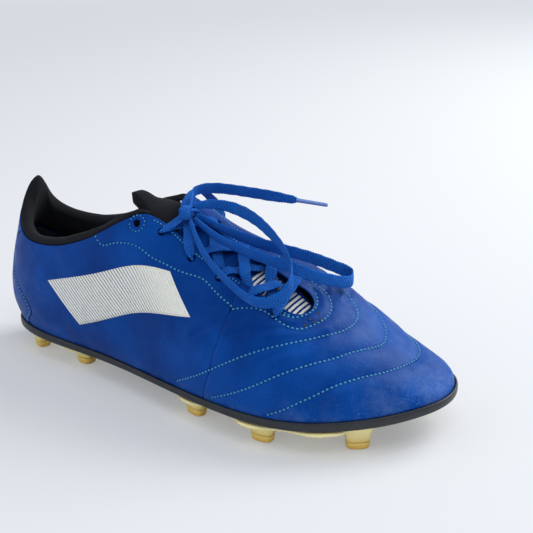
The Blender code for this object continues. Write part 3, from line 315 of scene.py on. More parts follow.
def normal(turn, rise):
    """Outward unit normals."""
    turn, rise = np.broadcast_arrays(np.asarray(turn, float), np.asarray(rise, float))
    # both sides share the lacing line, so at the toe tip the normal is read a little below it
    # and averaged over the two sides
    from_toe = abs(turn % 2.0 - 1)
    low = np.minimum(rise, 1 - 0.05 * (1 - ease(0, 0.05, from_toe)))
    other = 0.5 * ease(0.8, 1.0, rise) * (1 - ease(0.10, 0.16, from_toe))
    result = NORMAL_SIGN * cross_normal(turn, low)
    if np.any(other > 0):
        opposite = NORMAL_SIGN * cross_normal(2 - turn, low)
        result = unit(result * (1 - other[..., None]) + opposite * other[..., None])
    return result


def outside(turn, rise, offset):
    """Points at a distance outside the last."""
    points = surface(turn, rise)
    return points + normal(turn, rise).reshape(points.shape) * np.asarray(offset)[..., None]


def on_side(half, side):
    """Turn of a half on the given side; also the half of a turn."""
    return half if side == "lateral" else 2 - half


# ---- arc length along the sole edge
TOE = 1000                      # index of the toe tip in the samples
TURNS = np.linspace(0, 2, 2 * TOE + 1)
ARCS = length_along(surface(TURNS, np.zeros_like(TURNS))[:, :2])
LATERAL_ARC = float(ARCS[TOE])


def arc_of_turn(turn):
    turn = np.asarray(turn, float) % 2.0
    arc = np.interp(turn, TURNS, ARCS)
    return np.where(turn <= 1, arc, ARCS[-1] - arc)


def turn_of_arc(arc, side):
    if side == "lateral":
        return np.interp(arc, ARCS[:TOE + 1], TURNS[:TOE + 1])
    return 2 - np.interp(arc, (ARCS[-1] - ARCS)[TOE:][::-1], (2 - TURNS)[TOE:][::-1])


def turn_either(arc, sign):
    """Turn of an arc, on the medial side where sign <= 0."""
    return np.where(sign <= 0, turn_of_arc(arc, "medial"), turn_of_arc(arc, "lateral"))


# ================================================================ edge of the leather
TOP_END = 150                   # arc at which the topline gives way to the throat
# topline height against arc
TOPLINE = {
    "lateral": Curve([(0, 97), (8, 95), (16, 89.5), (27, 80.6), (36, 76.6), (47, 75.2), (57, 75.6),
                      (68, 77.4), (83, 82.2), (96, 88), (108, 94.9), (116, 99.4), (122, 102.4),
                      (132, 107), (150, 112)]),
    "medial": Curve([(0, 97), (8, 95), (16, 90), (27, 82.2), (36, 78.7), (47, 77), (57, 77),
                     (68, 78.8), (83, 83.4), (96, 89), (108, 95.5), (116, 99.8), (122, 102.8),
                     (132, 107), (150, 112)]),
}
# half width of the throat against x
THROAT_WIDTH = {
    "lateral": Curve([(88, 0), (95, 5), (100, 9.5), (105, 11.5), (110, 11.6), (118, 10.6),
                      (130, 9.8), (142, 9.3), (160, 9.0), (185, 9.0), (201.5, 9.0)]),
    "medial": Curve([(84, 0), (90, 9), (96, 15), (102, 17.2), (108, 16.6), (116, 13.6), (124, 11),
                     (134, 9.8), (142, 9.4), (160, 9.0), (185, 9.0), (201.5, 9.0)]),
}
HALVES = np.linspace(0, 1, 401)
RISES = np.linspace(0, 1, 61)


def throat_width(x, side):
    """Half width of the throat, rounded at its front end."""
    end = np.clip((x - (THROAT_END - THROAT_RADIUS)) / THROAT_RADIUS, 0, 1)
    return THROAT_WIDTH[side](x) * np.sqrt(1 - end * end)


def side_table(side):
    """Girth, x of the lacing line and rise of the leather edge at every one of HALVES."""
    turns = on_side(HALVES, side)
    net = surface(turns[:, None], RISES[None])
    girths = np.linalg.norm(np.diff(net, axis=1), axis=2).sum(1)
    lacing_x = net[:, -1, 0]
    arcs = arc_of_turn(turns)
    top_z = TOPLINE[side](arcs)
    collar = np.ones(len(HALVES))
    for k in np.nonzero(arcs < TOP_END)[0]:
        z = net[k, :, 2]
        above = np.nonzero(z >= top_z[k])[0]
        if len(above) and above[0] > 0:
            j = above[0]
            share = (top_z[k] - z[j - 1]) / (z[j] - z[j - 1])
            collar[k] = RISES[j - 1] + (RISES[j] - RISES[j - 1]) * share
    throat = 1 - throat_width(lacing_x, side) / girths
    # smooth minimum of the two
    soft = 0.05
    mix = np.clip(0.5 + 0.5 * (throat - collar) / soft, 0, 1)
    edge = throat * (1 - mix) + collar * mix - soft * mix * (1 - mix)
    return girths, lacing_x, np.where(arcs >= TOP_END, throat, edge)


TABLES = {side: side_table(side) for side in SIDES}


def from_table(turn, column):
    turn = np.asarray(turn, float) % 2.0
    return np.where(turn <= 1, np.interp(turn, HALVES, TABLES["lateral"][column]),
                    np.interp(2 - turn, HALVES, TABLES["medial"][column]))


def girth(turn):
    """Length of a section from the sole edge to the lacing line."""
    return from_table(turn, 0)


def edge_rise(turn):
    """Rise of the leather edge."""
    return from_table(turn, 2)


def half_at(x):
    """Half whose section meets the lacing line at x."""
    return np.interp(x, TABLES["lateral"][1][100:], HALVES[100:])


THROAT_HALF = float(half_at(THROAT_END))


def lacing(x, across, height):
    """Points over the throat: x, signed distance from the lacing line (- lateral), height."""
    half = half_at(x)
    turn = np.where(across < 0, half, 2 - half)
    return outside(turn, 1 - np.abs(across) / girth(turn), height)


def lacing_rows(rows):
    return lacing(*np.array(rows, float).T)


def edge_distance(x, side):
    """Distance of the leather edge from the lacing line."""
    turn = on_side(float(half_at(x)), side)
    return (1 - float(edge_rise(turn))) * float(girth(turn))


def eye_frame(k, side):
    """Centre and outward normal of an eyelet."""
    turn = on_side(float(half_at(EYE_X[k])), side)
    rise = float(edge_rise(turn)) - EYE_INSET / float(girth(turn))
    return surface(turn, rise)[0], normal(np.array([turn]), np.array([rise]))[0]


# heel seam and quarter-to-vamp lap: arc against height as a share of the panel's
HEEL_SEAM = Curve([(0, 33), (0.08, 36), (0.18, 42), (0.30, 42), (0.40, 35), (0.52, 25), (0.66, 19),
                   (0.80, 20.5), (1.0, 30)])
LAP = Curve([(0, 186), (0.2, 190), (0.45, 193.5), (0.7, 196), (1.0, 195)])
# collar padding against arc: depth below the edge, thickness, height above the edge
PAD_DEPTH = Curve([(0, 22), (60, 21), (92, 15), (106, 6), (114, 1.6), (122, 1.2), (160, 1.2)])
PAD_THICK = Curve([(0, 5.2), (60, 5.0), (95, 4.2), (112, 2.6), (122, 1.9), (160, 1.7)])
PAD_UP = Curve([(0, 12.4), (5, 12.4), (10, 11.9), (15, 10.6), (21, 8.4), (28, 6.6), (37, 5.6),
                (48, 5.2), (108, 5.1), (115, 4.4), (123, 3.5), (131, 2.3)])


# ================================================================ mesh helpers
def to_frame(points):
    return (np.asarray(points, float) - np.array(ORIGIN)) * MM


def listed(faces):
    return faces.tolist() if isinstance(faces, np.ndarray) else faces


def link_object(name, data):
    ob = bpy.data.objects.new(name, data)
    bpy.context.scene.collection.objects.link(ob)
    return ob


def new_mesh(name, verts, faces):
    mesh = bpy.data.meshes.new(name)
    mesh.from_pydata(to_frame(verts).tolist(), [], listed(faces))
    return mesh


def make_object(name, verts, faces, materials, body="shoe", uv=None, attributes=None,
                replaces=None, slot=None):
    mesh = new_mesh(name, verts, faces)
    if uv is not None:
        layer = mesh.uv_layers.new(name="UVMap")
        corners = np.empty(len(mesh.loops), np.int32)
        mesh.loops.foreach_get("vertex_index", corners)
        layer.data.foreach_set("uv", np.asarray(uv, np.float32)[corners].ravel())
    for key, values in (attributes or {}).items():
        data = mesh.attributes.new(key, "FLOAT", "POINT").data
        data.foreach_set("value", np.asarray(values, np.float32))
    mesh.validate(clean_customdata=False)
    mesh.shade_smooth()
    for material in materials if isinstance(materials, list) else [materials]:
        mesh.materials.append(material)
    ob = link_object(name, mesh)
    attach(ob, body)
    if replaces:
        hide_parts(replaces)
    return ob


def grid_faces(rows, columns, close=False, flip=False):
    """Quads over a grid of vertices; close joins the last column to the first."""
    i, j = np.meshgrid(np.arange(rows - 1), np.arange(columns if close else columns - 1),
                       indexing="ij")
    here, below = i * columns, (i + 1) * columns
    right = (j + 1) % columns
    faces = np.stack([here + j, below + j, below + right, here + right], -1).reshape(-1, 4)
    return faces[:, ::-1] if flip else faces


def end_caps(rings, around):
    return tuple(range(around)), tuple(range((rings - 1) * around, rings * around))


def tube_faces(rings, around, flip=False):
    """A closed tube of rings."""
    first, last = end_caps(rings, around)
    caps = [first, last[::-1]] if flip else [first[::-1], last]
    return grid_faces(rings, around, close=True, flip=flip).tolist() + caps


def slab_faces(rows, columns):
    """Top grid, bottom grid and the rim between them."""
    count = rows * columns
    k = np.arange(count).reshape(rows, columns)
    loop = np.concatenate([k[:, 0], k[-1, 1:], k[:-1, -1][::-1], k[0, :-1][::-1]])
    here, after = loop[:-1], loop[1:]
    rim = np.stack([here, here + count, after + count, after], -1)
    return np.concatenate([grid_faces(rows, columns),
                           grid_faces(rows, columns, flip=True) + count, rim])


def needs_flip(points, outward):
    """Whether a grid's faces look against the outward directions."""
    down = points[1:, :-1] - points[:-1, :-1]
    right = points[:-1, 1:] - points[:-1, :-1]
    return float((np.cross(down, right) * outward[:-1, :-1]).sum()) < 0


def joined(parts):
    """One mesh from parts that start with (vertices, faces)."""
    verts, faces, start = [], [], 0
    for points, part_faces, *_ in parts:
        faces += [[i + start for i in face] for face in listed(part_faces)]
        verts.append(points)
        start += len(points)
    return np.concatenate(verts), faces


def weld(verts, faces, extra, tolerance=2e-3):
    """Merge coinciding vertices; returns vertices, quads, triangles and the extra values."""
    key = np.round(verts / tolerance).astype(np.int64)
    _, first, inverse = np.unique(key, axis=0, return_index=True, return_inverse=True)
    kept = [tuple(dict.fromkeys(face))
            for face in inverse.reshape(-1)[np.asarray(faces)].tolist()]
    quads = [face for face in kept if len(face) == 4]
    triangles = [face for face in kept if len(face) == 3]
    return verts[first], quads, triangles, {k: v[first] for k, v in extra.items()}


def span_between(first, second, columns):
    """Grid between two edges, and each point's distance from the nearer edge."""
    share = np.linspace(0, 1, columns)[None]
    grid = first[:, None] * (1 - share[..., None]) + second[:, None] * share[..., None]
    width = np.linalg.norm(first - second, axis=1)[:, None]
    return grid, np.minimum(share, 1 - share) * width


def solidify(ob, thickness):
    modifier = ob.modifiers.new("thickness", "SOLIDIFY")
    modifier.thickness = thickness * MM
    modifier.offset = -1.0
    modifier.use_quality_normals = True


def fix_normals(mesh):
    bm = bmesh.new()
    bm.from_mesh(mesh)
    bmesh.ops.recalc_face_normals(bm, faces=bm.faces)
    bm.to_mesh(mesh)
    bm.free()


# ---- snapping of listed lines to the last
_turn, _rise = np.meshgrid(np.linspace(0, 2, 1201)[:-1], np.linspace(0.0, 1.0, 121), indexing="ij")
SNAP_POINTS = surface(_turn, _rise).reshape(-1, 3)
SNAP_NORMALS = normal(_turn, _rise).reshape(-1, 3)
SNAP_TURNS, SNAP_RISES = _turn.ravel(), _rise.ravel()
SNAP_TREE = kd_tree(SNAP_POINTS)


def snap(points):
    """Points moved along the normal onto the last, with their normals, turns and rises."""
    k = np.array([SNAP_TREE.find(Vector(p))[1] for p in points])
    normals = SNAP_NORMALS[k]
    height = ((points - SNAP_POINTS[k]) * normals).sum(1)
    return points - normals * height[:, None], normals, SNAP_TURNS[k], SNAP_RISES[k]


def on_surface(points, step=0.4):
    """Smooth line through the points, laid on the last."""
    points = np.asarray(points, float)
    along = length_along(points)
    places = np.linspace(0, along[-1], max(3, int(along[-1] / step) + 1))
    return snap(spline_eval(along, points, spline_fit(along, points), places))[0]


def mirrored(turn, rise):
    """The place on the other side at the same distance from the lacing line."""
    distance = (1 - rise) * girth(turn)
    other = (2 - turn) % 2.0
    return other, 1 - distance / girth(other)


# ================================================================ materials
def put(tree, socket, value):
    """Link or set a node input; a colour may leave out its alpha."""
    if isinstance(value, bpy.types.NodeSocket):
        tree.links.new(value, socket)
    elif isinstance(value, tuple) and len(value) == 3 and socket.type == "RGBA":
        socket.default_value = (*value, 1)
    else:
        socket.default_value = value


def add_node(tree, kind, inputs=None, **settings):
    node = tree.nodes.new("ShaderNode" + kind)
    for key, value in settings.items():
        setattr(node, key, value)
    for key, value in (inputs or {}).items():
        put(tree, node.inputs[key], value)
    return node


def scaled(colour, factor, plus=0.0):
    return tuple(c * factor + plus for c in colour)


class Shader:
    """Short-hand for a material round a Principled BSDF; node methods return sockets."""
    def __init__(self, name, **inputs):
        self.material = bpy.data.materials.new(name)
        self.material.use_nodes = True
        self.tree = self.material.node_tree
        self.bsdf = self.tree.nodes["Principled BSDF"]
        for key, value in inputs.items():
            put(self.tree, self.bsdf.inputs[key.replace("_", " ")], value)
        self.position = self.add("TexCoord").outputs["Object"]

    def add(self, kind, inputs=None, **settings):
        return add_node(self.tree, kind, inputs, **settings)

    def split(self, vector):
        return self.add("SeparateXYZ", {0: vector}).outputs

    def uv(self):
        return self.split(self.add("UVMap", uv_map="UVMap").outputs["UV"])[:2]

    def attribute(self, name):
        return self.add("Attribute", attribute_name=name).outputs["Fac"]

    def math(self, operation, first, second=None, clamp=False):
        inputs = {0: first} if second is None else {0: first, 1: second}
        return self.add("Math", inputs, operation=operation, use_clamp=clamp).outputs[0]

    def mul(self, first, second, clamp=False):
        return self.math("MULTIPLY", first, second, clamp)

    def sum(self, first, second):
        return self.math("ADD", first, second)

    def wave(self, value):
        """|sin(pi value)|"""
        return self.math("ABSOLUTE", self.math("SINE", self.mul(value, pi)))

    def noise(self, scale, detail=3.0, rough=0.5, distortion=0.0):
        return self.add("TexNoise", {"Vector": self.position, "Scale": scale, "Detail": detail,
                                     "Roughness": rough, "Distortion": distortion}).outputs["Fac"]

    def cells(self, scale):
        inputs = {"Vector": self.position, "Scale": scale}
        return self.add("TexVoronoi", inputs).outputs["Distance"]

    def ramp(self, value, start, end, low=0.0, high=1.0):
        """Smooth step: low at start, high at end."""
        return self.add("MapRange", {"Value": value, "From Min": start, "From Max": end,
                                     "To Min": low, "To Max": high},
                        interpolation_type="SMOOTHSTEP").outputs["Result"]

    def mix(self, factor, first, second):
        return self.add("Mix", {"Factor": factor, 6: first, 7: second},
                        data_type="RGBA").outputs[2]

    def finish(self, colour, height, distance, strength, rough=None):
        """Connect the colour, bumps of the given height and, if given, the roughness."""
        bump = self.add("Bump", {"Strength": strength, "Distance": distance, "Height": height})
        put(self.tree, self.bsdf.inputs["Base Color"], colour)
        if rough is not None:
            put(self.tree, self.bsdf.inputs["Roughness"], rough)
        put(self.tree, self.bsdf.inputs["Normal"], bump.outputs["Normal"])
        return self.material


def leather_material():
    deep = (0.0010, 0.032, 0.205)
    light = (0.0020, 0.064, 0.335)
    worn = (0.085, 0.155, 0.38)
    mat = Shader("leather_blue", Roughness=0.43, Specular_IOR_Level=0.20, Sheen_Weight=0.02,
                 Sheen_Roughness=0.45, Sheen_Tint=(0.35, 0.55, 1.0),
                 Specular_Tint=(0.15, 0.52, 1.0))
    broad = mat.noise(scale=22, detail=3, rough=0.55)
    mottled = mat.noise(scale=160, detail=4, rough=0.6)
    grain = mat.cells(scale=1250)
    fine = mat.noise(scale=2600, detail=2)
    creases = mat.noise(scale=420, detail=4, rough=0.65, distortion=0.6)
    colour = mat.mix(mat.ramp(broad, 0.35, 0.68), deep, light)
    colour = mat.mix(mat.mul(mat.ramp(mottled, 0.45, 0.75), 0.25), colour, light)
    colour = mat.mix(mat.mul(mat.ramp(grain, 0.35, 0.8), 0.22), colour, scaled(deep, 0.55))
    # scuffs and streaks where the wear attribute allows
    patches = mat.ramp(mat.noise(scale=95, detail=5, rough=0.7), 0.38, 0.72)
    wear = mat.mul(mat.attribute("wear"), patches, clamp=True)
    lines = mat.ramp(mat.noise(scale=420, detail=2, rough=0.8, distortion=1.5), 0.56, 0.68)
    streak = mat.mul(mat.attribute("wear"), lines, clamp=True)
    colour = mat.mix(mat.mul(wear, 0.55), colour, worn)
    colour = mat.mix(mat.mul(streak, 0.35), colour, scaled(worn, 1.5))
    # painted shade: the leather is darkened along the stitched grooves
    colour = mat.mix(mat.mul(mat.attribute("groove_shade"), 0.55), colour, scaled(deep, 0.45))
    rough = mat.sum(mat.ramp(mottled, 0.3, 0.7, low=0.40, high=0.52), mat.mul(wear, 0.18))
    height = mat.sum(mat.mul(grain, -0.55), mat.mul(fine, 0.30))
    height = mat.sum(height, mat.mul(creases, 0.9))
    return mat.finish(colour, height, distance=0.00022, strength=0.55, rough=rough)


def knit_material(name, dark, light, pitch):
    """Fine ribbed knit that follows the piece's UVs, with painted shade in the hollows between the
    ribs; pitch of the ribs in mm.
    """
    mat = Shader(name, Roughness=0.92, Specular_IOR_Level=0.12, Sheen_Weight=0.05,
                 Sheen_Roughness=0.6, Sheen_Tint=(0.6, 0.62, 0.68))
    along, across = mat.uv()
    rib = mat.mul(along, 1 / pitch)
    slant = mat.mul(mat.math("PINGPONG", rib, 0.5), 0.9)
    loop = mat.sum(mat.mul(across, 1 / (pitch * 0.8)), slant)
    height = mat.mul(mat.math("POWER", mat.wave(rib), 0.6),
                     mat.sum(mat.mul(mat.wave(loop), 0.6), 0.4))
    fuzz = mat.noise(scale=5200, detail=3, rough=0.7)
    dust = mat.ramp(mat.noise(scale=240, detail=4, rough=0.7), 0.52, 0.8, high=0.35)
    # painted shade: the hollows between the ribs take the dark colour and the rib tops the light
    # one
    colour = mat.mix(height, dark, light)
    colour = mat.mix(dust, colour, scaled(light, 2.0, plus=0.01))
    height = mat.sum(height, mat.mul(fuzz, 0.35))
    return mat.finish(colour, height, distance=0.00028, strength=0.75)


def lace_material():
    """Braid in columns along the lace, with painted shade in its hollows and painted highlight on
    its raised stitches; UVs are millimetres along and across.
    """
    column = 1.28
    mat = Shader("lace_braid_blue", Roughness=0.82, Specular_IOR_Level=0.15, Sheen_Weight=0.10,
                 Sheen_Roughness=0.5, Sheen_Tint=(0.35, 0.55, 1.0))
    along, across = mat.uv()
    slant = mat.math("PINGPONG", mat.mul(across, 1 / column), 1.0)
    stitch = mat.wave(mat.sum(mat.mul(along, 1 / 1.5), mat.mul(slant, 0.85)))
    edge = mat.math("ABSOLUTE", mat.math("SINE", mat.mul(across, pi / column)))
    height = mat.mul(mat.math("POWER", stitch, 0.7),
                     mat.sum(mat.mul(mat.math("POWER", edge, 0.5), 0.6), 0.4))
    fuzz = mat.noise(scale=2600, detail=4, rough=0.7)
    # painted shade and highlight: the braid's hollows take the dark blue and its raised stitches
    # the bright blue, mixed with random fuzz tone
    braid_shade_and_fuzz_tone = mat.sum(mat.mul(height, 0.65), mat.mul(mat.ramp(fuzz, 0.36, 0.64), 0.35))
    colour = mat.mix(braid_shade_and_fuzz_tone, (0.001, 0.018, 0.16), (0.010, 0.215, 0.88))
    patches = mat.ramp(mat.noise(scale=180, detail=3, rough=0.6), 0.4, 0.75, high=0.35)
    colour = mat.mix(patches, colour, (0.020, 0.20, 0.74))
    height = mat.sum(height, mat.mul(fuzz, 0.8))
    return mat.finish(colour, height, distance=0.0007, strength=1.0)


def thread_material():
    mat = Shader("stitch_thread", Roughness=0.6, Specular_IOR_Level=0.4, Sheen_Weight=0.2)
    twist = mat.noise(scale=5200, detail=2, rough=0.6)
    colour = mat.mix(twist, (0.014, 0.17, 0.40), (0.060, 0.40, 0.66))
    return mat.finish(colour, twist, distance=0.0001, strength=0.6)


def print_material():
    mat = Shader("print_ivory", Roughness=0.48, Specular_IOR_Level=0.45)
    soil = mat.noise(scale=300, detail=5, rough=0.7)
    spots = mat.ramp(mat.noise(scale=1400, detail=3, rough=0.7), 0.62, 0.74)
    colour = mat.mix(mat.ramp(soil, 0.45, 0.8, high=0.6), (0.93, 0.91, 0.80), (0.76, 0.74, 0.63))
    colour = mat.mix(mat.mul(spots, 0.25), colour, (0.40, 0.42, 0.44))
    cracks = mat.noise(scale=900, detail=4, rough=0.6)
    rough = mat.ramp(soil, 0.3, 0.8, low=0.42, high=0.60)
    return mat.finish(colour, cracks, distance=0.00012, strength=0.5, rough=rough)


def sole_material():
    mat = Shader("sole_black", Roughness=0.55, Specular_IOR_Level=0.4)
    dust = mat.ramp(mat.noise(scale=130, detail=5, rough=0.75), 0.42, 0.78)
    scratches = mat.ramp(mat.noise(scale=900, detail=3, rough=0.8, distortion=2.0), 0.60, 0.70)
    colour = mat.mix(mat.mul(dust, 0.5), (0.016, 0.018, 0.021), (0.050, 0.053, 0.058))
    colour = mat.mix(mat.mul(scratches, 0.35), colour, (0.11, 0.11, 0.11))
    height = mat.sum(mat.noise(scale=1800, detail=4, rough=0.65), mat.mul(mat.cells(700), 0.4))
    rough = mat.ramp(dust, 0.2, 0.9, low=0.42, high=0.68)
    return mat.finish(colour, height, distance=0.00016, strength=0.5, rough=rough)


def stud_material(name, body, dirty, tip, low, high):
    """Moulded plastic that turns to the tip colour from z = high down to z = low, metres."""
    mat = Shader(name, Roughness=0.34, Specular_IOR_Level=0.5, Subsurface_Weight=0.12,
                 Subsurface_Radius=(0.004, 0.003, 0.0015), Subsurface_Scale=0.6)
    to_tip = mat.ramp(mat.split(mat.position)[2], low, high, low=1.0, high=0.0)
    dirt = mat.ramp(mat.noise(scale=170, detail=5, rough=0.7), 0.48, 0.80)
    scratches = mat.ramp(mat.noise(scale=800, detail=3, rough=0.75, distortion=1.5), 0.60, 0.70)
    colour = mat.mix(to_tip, body, tip)
    colour = mat.mix(mat.mul(dirt, 0.45), colour, dirty)
    colour = mat.mix(mat.mul(scratches, 0.25), colour, (0.30, 0.22, 0.10))
    height = mat.noise(scale=700, detail=4, rough=0.6)
    rough = mat.ramp(dirt, 0.2, 0.9, low=0.28, high=0.55)
    return mat.finish(colour, height, distance=0.0002, strength=0.35, rough=rough)


def board_material():
    mat = Shader("board_fibre", Roughness=0.9, Specular_IOR_Level=0.2)
    fibre = mat.noise(scale=1500, detail=5, rough=0.75, distortion=1.0)
    colour = mat.mix(fibre, (0.10, 0.09, 0.075), (0.20, 0.185, 0.155))
    return mat.finish(colour, fibre, distance=0.0002, strength=0.6)


def aglet_material():
    mat = Shader("aglet_film", Roughness=0.22, Specular_IOR_Level=0.6, Coat_Weight=0.4)
    mottle = mat.noise(scale=2400, detail=2)
    colour = mat.mix(mottle, (0.05, 0.13, 0.42), (0.16, 0.28, 0.62))
    return mat.finish(colour, mottle, distance=0.0001, strength=0.4)


BLUE = leather_material()
KNIT = knit_material("collar_knit_black", dark=(0.0035, 0.0035, 0.0042),
                     light=(0.016, 0.016, 0.019), pitch=1.2)
LINING = knit_material("lining_mesh", dark=(0.004, 0.0045, 0.006),
                       light=(0.022, 0.024, 0.030), pitch=1.6)
SOCK = knit_material("sockliner_cloth", dark=(0.006, 0.006, 0.008),
                     light=(0.030, 0.032, 0.038), pitch=0.9)
LACE = lace_material()
THREAD = thread_material()
PRINT = print_material()
SOLE = sole_material()
CREAM = stud_material("stud_cream", body=(1.0, 0.845, 0.40), dirty=(0.86, 0.64, 0.25),
                      tip=(0.97, 0.70, 0.19), low=0.003, high=0.010)
AMBER = stud_material("stud_tip_amber", body=(0.98, 0.72, 0.21), dirty=(0.70, 0.43, 0.09),
                      tip=(0.92, 0.55, 0.08), low=0.0, high=0.005)
BOARD = board_material()
AGLET = aglet_material()

# CAD pieces that stay and only take a material
for piece_names, piece_material in (
    (("heel_counter", "toe_puff", "insole_board"), BOARD),
    (("eyelet_facing_lateral", "eyelet_facing_medial", "vamp_lining", "tongue_lining"), LINING),
):
    for piece_name in piece_names:
        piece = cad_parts[piece_name]
        piece.data.materials.clear()
        piece.data.materials.append(piece_material)

# ================================================================ lines on the upper
# quilted lines over the toe box, (turn, rise), from the lateral sole edge to the medial one
TOE_FRONT = [
    (.688, .03), (.715, .095), (.742, .181), (.763, .247), (.782, .317), (.809, .402),
    (.828, .456), (.864, .548), (.906, .672), (.971, .799), (1.053, .640), (1.101, .500),
    (1.150, .410), (1.200, .300), (1.245, .180), (1.285, .095), (1.312, .03)]
TOE_MIDDLE = [
    (.578, .03), (.625, .130), (.665, .240), (.700, .355), (.731, .452), (.751, .514),
    (.774, .587), (.797, .695), (.824, .819), (.849, .946), (1.132, .931), (1.152, .780),
    (1.190, .655), (1.235, .550), (1.280, .420), (1.335, .255), (1.385, .120), (1.422, .03)]
TOE_REAR = [
    (.497, .044), (.560, .185), (.620, .365), (.672, .530), (.717, .664), (.737, .730),
    (.753, .799), (.772, .903), (1.218, .985), (1.216, .884), (1.224, .811), (1.262, .710),
    (1.315, .600), (1.375, .420), (1.440, .200), (1.503, .044)]
# lines beside and round the throat, (x, y, z)
STAY = np.array([
    (76.6, -29.6, 89.3), (82.3, -31.2, 84.6), (90, -30.8, 86.5), (99.2, -30.7, 88.3),
    (108.1, -30.6, 87.5), (116.9, -31.6, 83.8), (126.5, -31.9, 81.4), (135.3, -32.1, 79.2),
    (142.5, -31.8, 78.2), (152.9, -31.5, 76.4), (159.4, -33.3, 73), (168.2, -35.3, 69),
    (174.6, -36.6, 66.3)])
THROAT_OUTER = np.array([
    (173, -37.3, 65.7), (189.9, -31.8, 66.2), (201, -32.0, 61.6), (210.3, -29.5, 59.5),
    (214.0, -25.2, 60.1), (217.4, -18.0, 61.4), (218.3, -10.9, 63.1), (216.5, -5.6, 65.3),
    (213.5, -2.0, 67.7)])
THROAT_INNER = [
    (199.5, -29.5, 66.5), (203.9, -27.8, 64.7), (209.1, -23.4, 65.1), (211.8, -18.2, 66.7),
    (212.2, -13, 68.4), (210.0, -8.5, 70.6), (205.5, -5.0, 73.5)]
# flex creases behind the toe box, (turn, rise)
CREASES = [
    [(.60, .50), (.650, .63), (.690, .74), (.715, .86)],
    [(.665, .42), (.705, .56), (.735, .67), (.75, .80)],
    [(1.42, .42), (1.36, .56), (1.31, .70), (1.285, .84)],
    [(1.36, .38), (1.30, .52), (1.265, .66), (1.25, .80)],
    [(.53, .40), (.565, .52), (.60, .62), (.625, .72)]]


def surface_line(places):
    return on_surface(surface(*np.array(places, float).T))


def stay_lines():
    points, _, turn, rise = snap(STAY)
    turn, rise = mirrored(turn, rise)
    return [on_surface(points), on_surface(surface(turn, np.clip(rise, 0, 0.99)))]


def throat_outer_line():
    """The lateral line round the front of the throat, led back on the medial side."""
    points, _, turn, rise = snap(THROAT_OUTER)
    back = surface(*mirrored(turn[:3], rise[:3]))[::-1]
    return on_surface(np.concatenate([points, back]))


def throat_edge_line(side):
    turn = on_side(half_at(np.linspace(112, 203, 26)), side)
    return on_surface(surface(turn, edge_rise(turn) - 2.0 / girth(turn)))


def eyelet_ring(side, radius=4.7):
    """Circle round the rearmost eyelet."""
    centre, axis = eye_frame(0, side)
    first, second = plane_axes(axis)
    angle = np.linspace(0, 2 * pi, 40)[:, None]
    return snap(centre + radius * (np.cos(angle) * first + np.sin(angle) * second))[0]


def heel_seam_line(side):
    up = np.linspace(0.02, 0.985, 60)
    turn = turn_of_arc(HEEL_SEAM(up) - 1.9, side)
    return on_surface(surface(turn, edge_rise(turn) * up))


QUILT_LINES = [surface_line(places) for places in (TOE_FRONT, TOE_MIDDLE, TOE_REAR)]
QUILT_LINES += [throat_outer_line(), on_surface(THROAT_INNER)]
SIDE_LINES = stay_lines() + [heel_seam_line(side) for side in SIDES]
EDGE_LINES = [throat_edge_line(side) for side in SIDES] + [eyelet_ring(side) for side in SIDES]

quilt_distance = distance_to(np.concatenate(QUILT_LINES))
plain_distance = distance_to(np.concatenate(SIDE_LINES + EDGE_LINES))
crease_distance = distance_to(np.concatenate([surface_line(places) for places in CREASES]))


def relief(points, puff):
    """Height of the leather above the last, and the mask of painted shade along the stitched
    grooves.
    """
    flat = points.reshape(-1, 3)
    x, y, z = flat.T
    quilt = quilt_distance(flat)
    plain = plain_distance(flat)
    crease = crease_distance(flat)
    height = puff * (1 - bell(quilt, 3.4)) - 0.36 * bell(quilt, 0.70)
    height += 0.10 * (1 - bell(plain, 2.0)) - 0.26 * bell(plain, 0.62)
    height -= 0.42 * bell(crease, 1.6) - 0.24 * bell(crease - 3.4, 1.7)
    height += 0.34 * fractal(flat, 30.0, 3.1, 3) + 0.12 * fractal(flat, 9.0, 7.7, 3)
    # small puckers across each quilted line
    puckers = np.sin(x * 2.1 + y * 1.3) * np.sin(z * 1.7 + y * 0.8)
    height += 0.07 * bell(quilt, 2.6) * puckers
    # mask for the painted shade that darkens the leather along the stitched grooves
    groove_shade = np.maximum(bell(quilt, 0.55), bell(plain, 0.55))
    return height.reshape(points.shape[:-1]), groove_shade.reshape(points.shape[:-1])


def wear_mask(points):
    x, y, z = np.moveaxis(points, -1, 0)
    toe = ease(228, 276, x) * (1 - ease(26, 54, z))
    heel = (1 - ease(-4, 18, x)) * (1 - ease(22, 62, z)) * 0.6
    low = 0.55 * (1 - ease(0, 8, z - EDGE_Z(x)))
    top = 0.35 * ease(205, 232, x) * bell(z - 60, 14)
    ball = 0.3 * bell(x - 222, 22) * (1 - ease(20, 45, z))
    return np.clip(toe + heel + low + top + ball, 0, 1)


# ================================================================ leather panels
ROLL = (0.0, 0.12, 0.3, 0.6, 1.0)   # distances of the close rows along a rolled edge


def edge_spaced(count, length, start=(0.0,)):
    """Shares 0..1 with extra rows at given distances from the start and ROLL from the end."""
    first = [x / length for x in start]
    last = [1 - x / length for x in ROLL][::-1]
    middle = np.linspace(first[-1], last[0], count + 2)[1:-1]
    return np.array(sorted(set(first + list(middle) + last)))


def rolled(distance, depth=0.5, width=0.9):
    """Drop of a skived edge, by distance from the edge."""
    x = np.clip(1 - distance / width, 0, 1)
    return -depth * (1 - np.sqrt(np.maximum(0, 1 - x * x)))


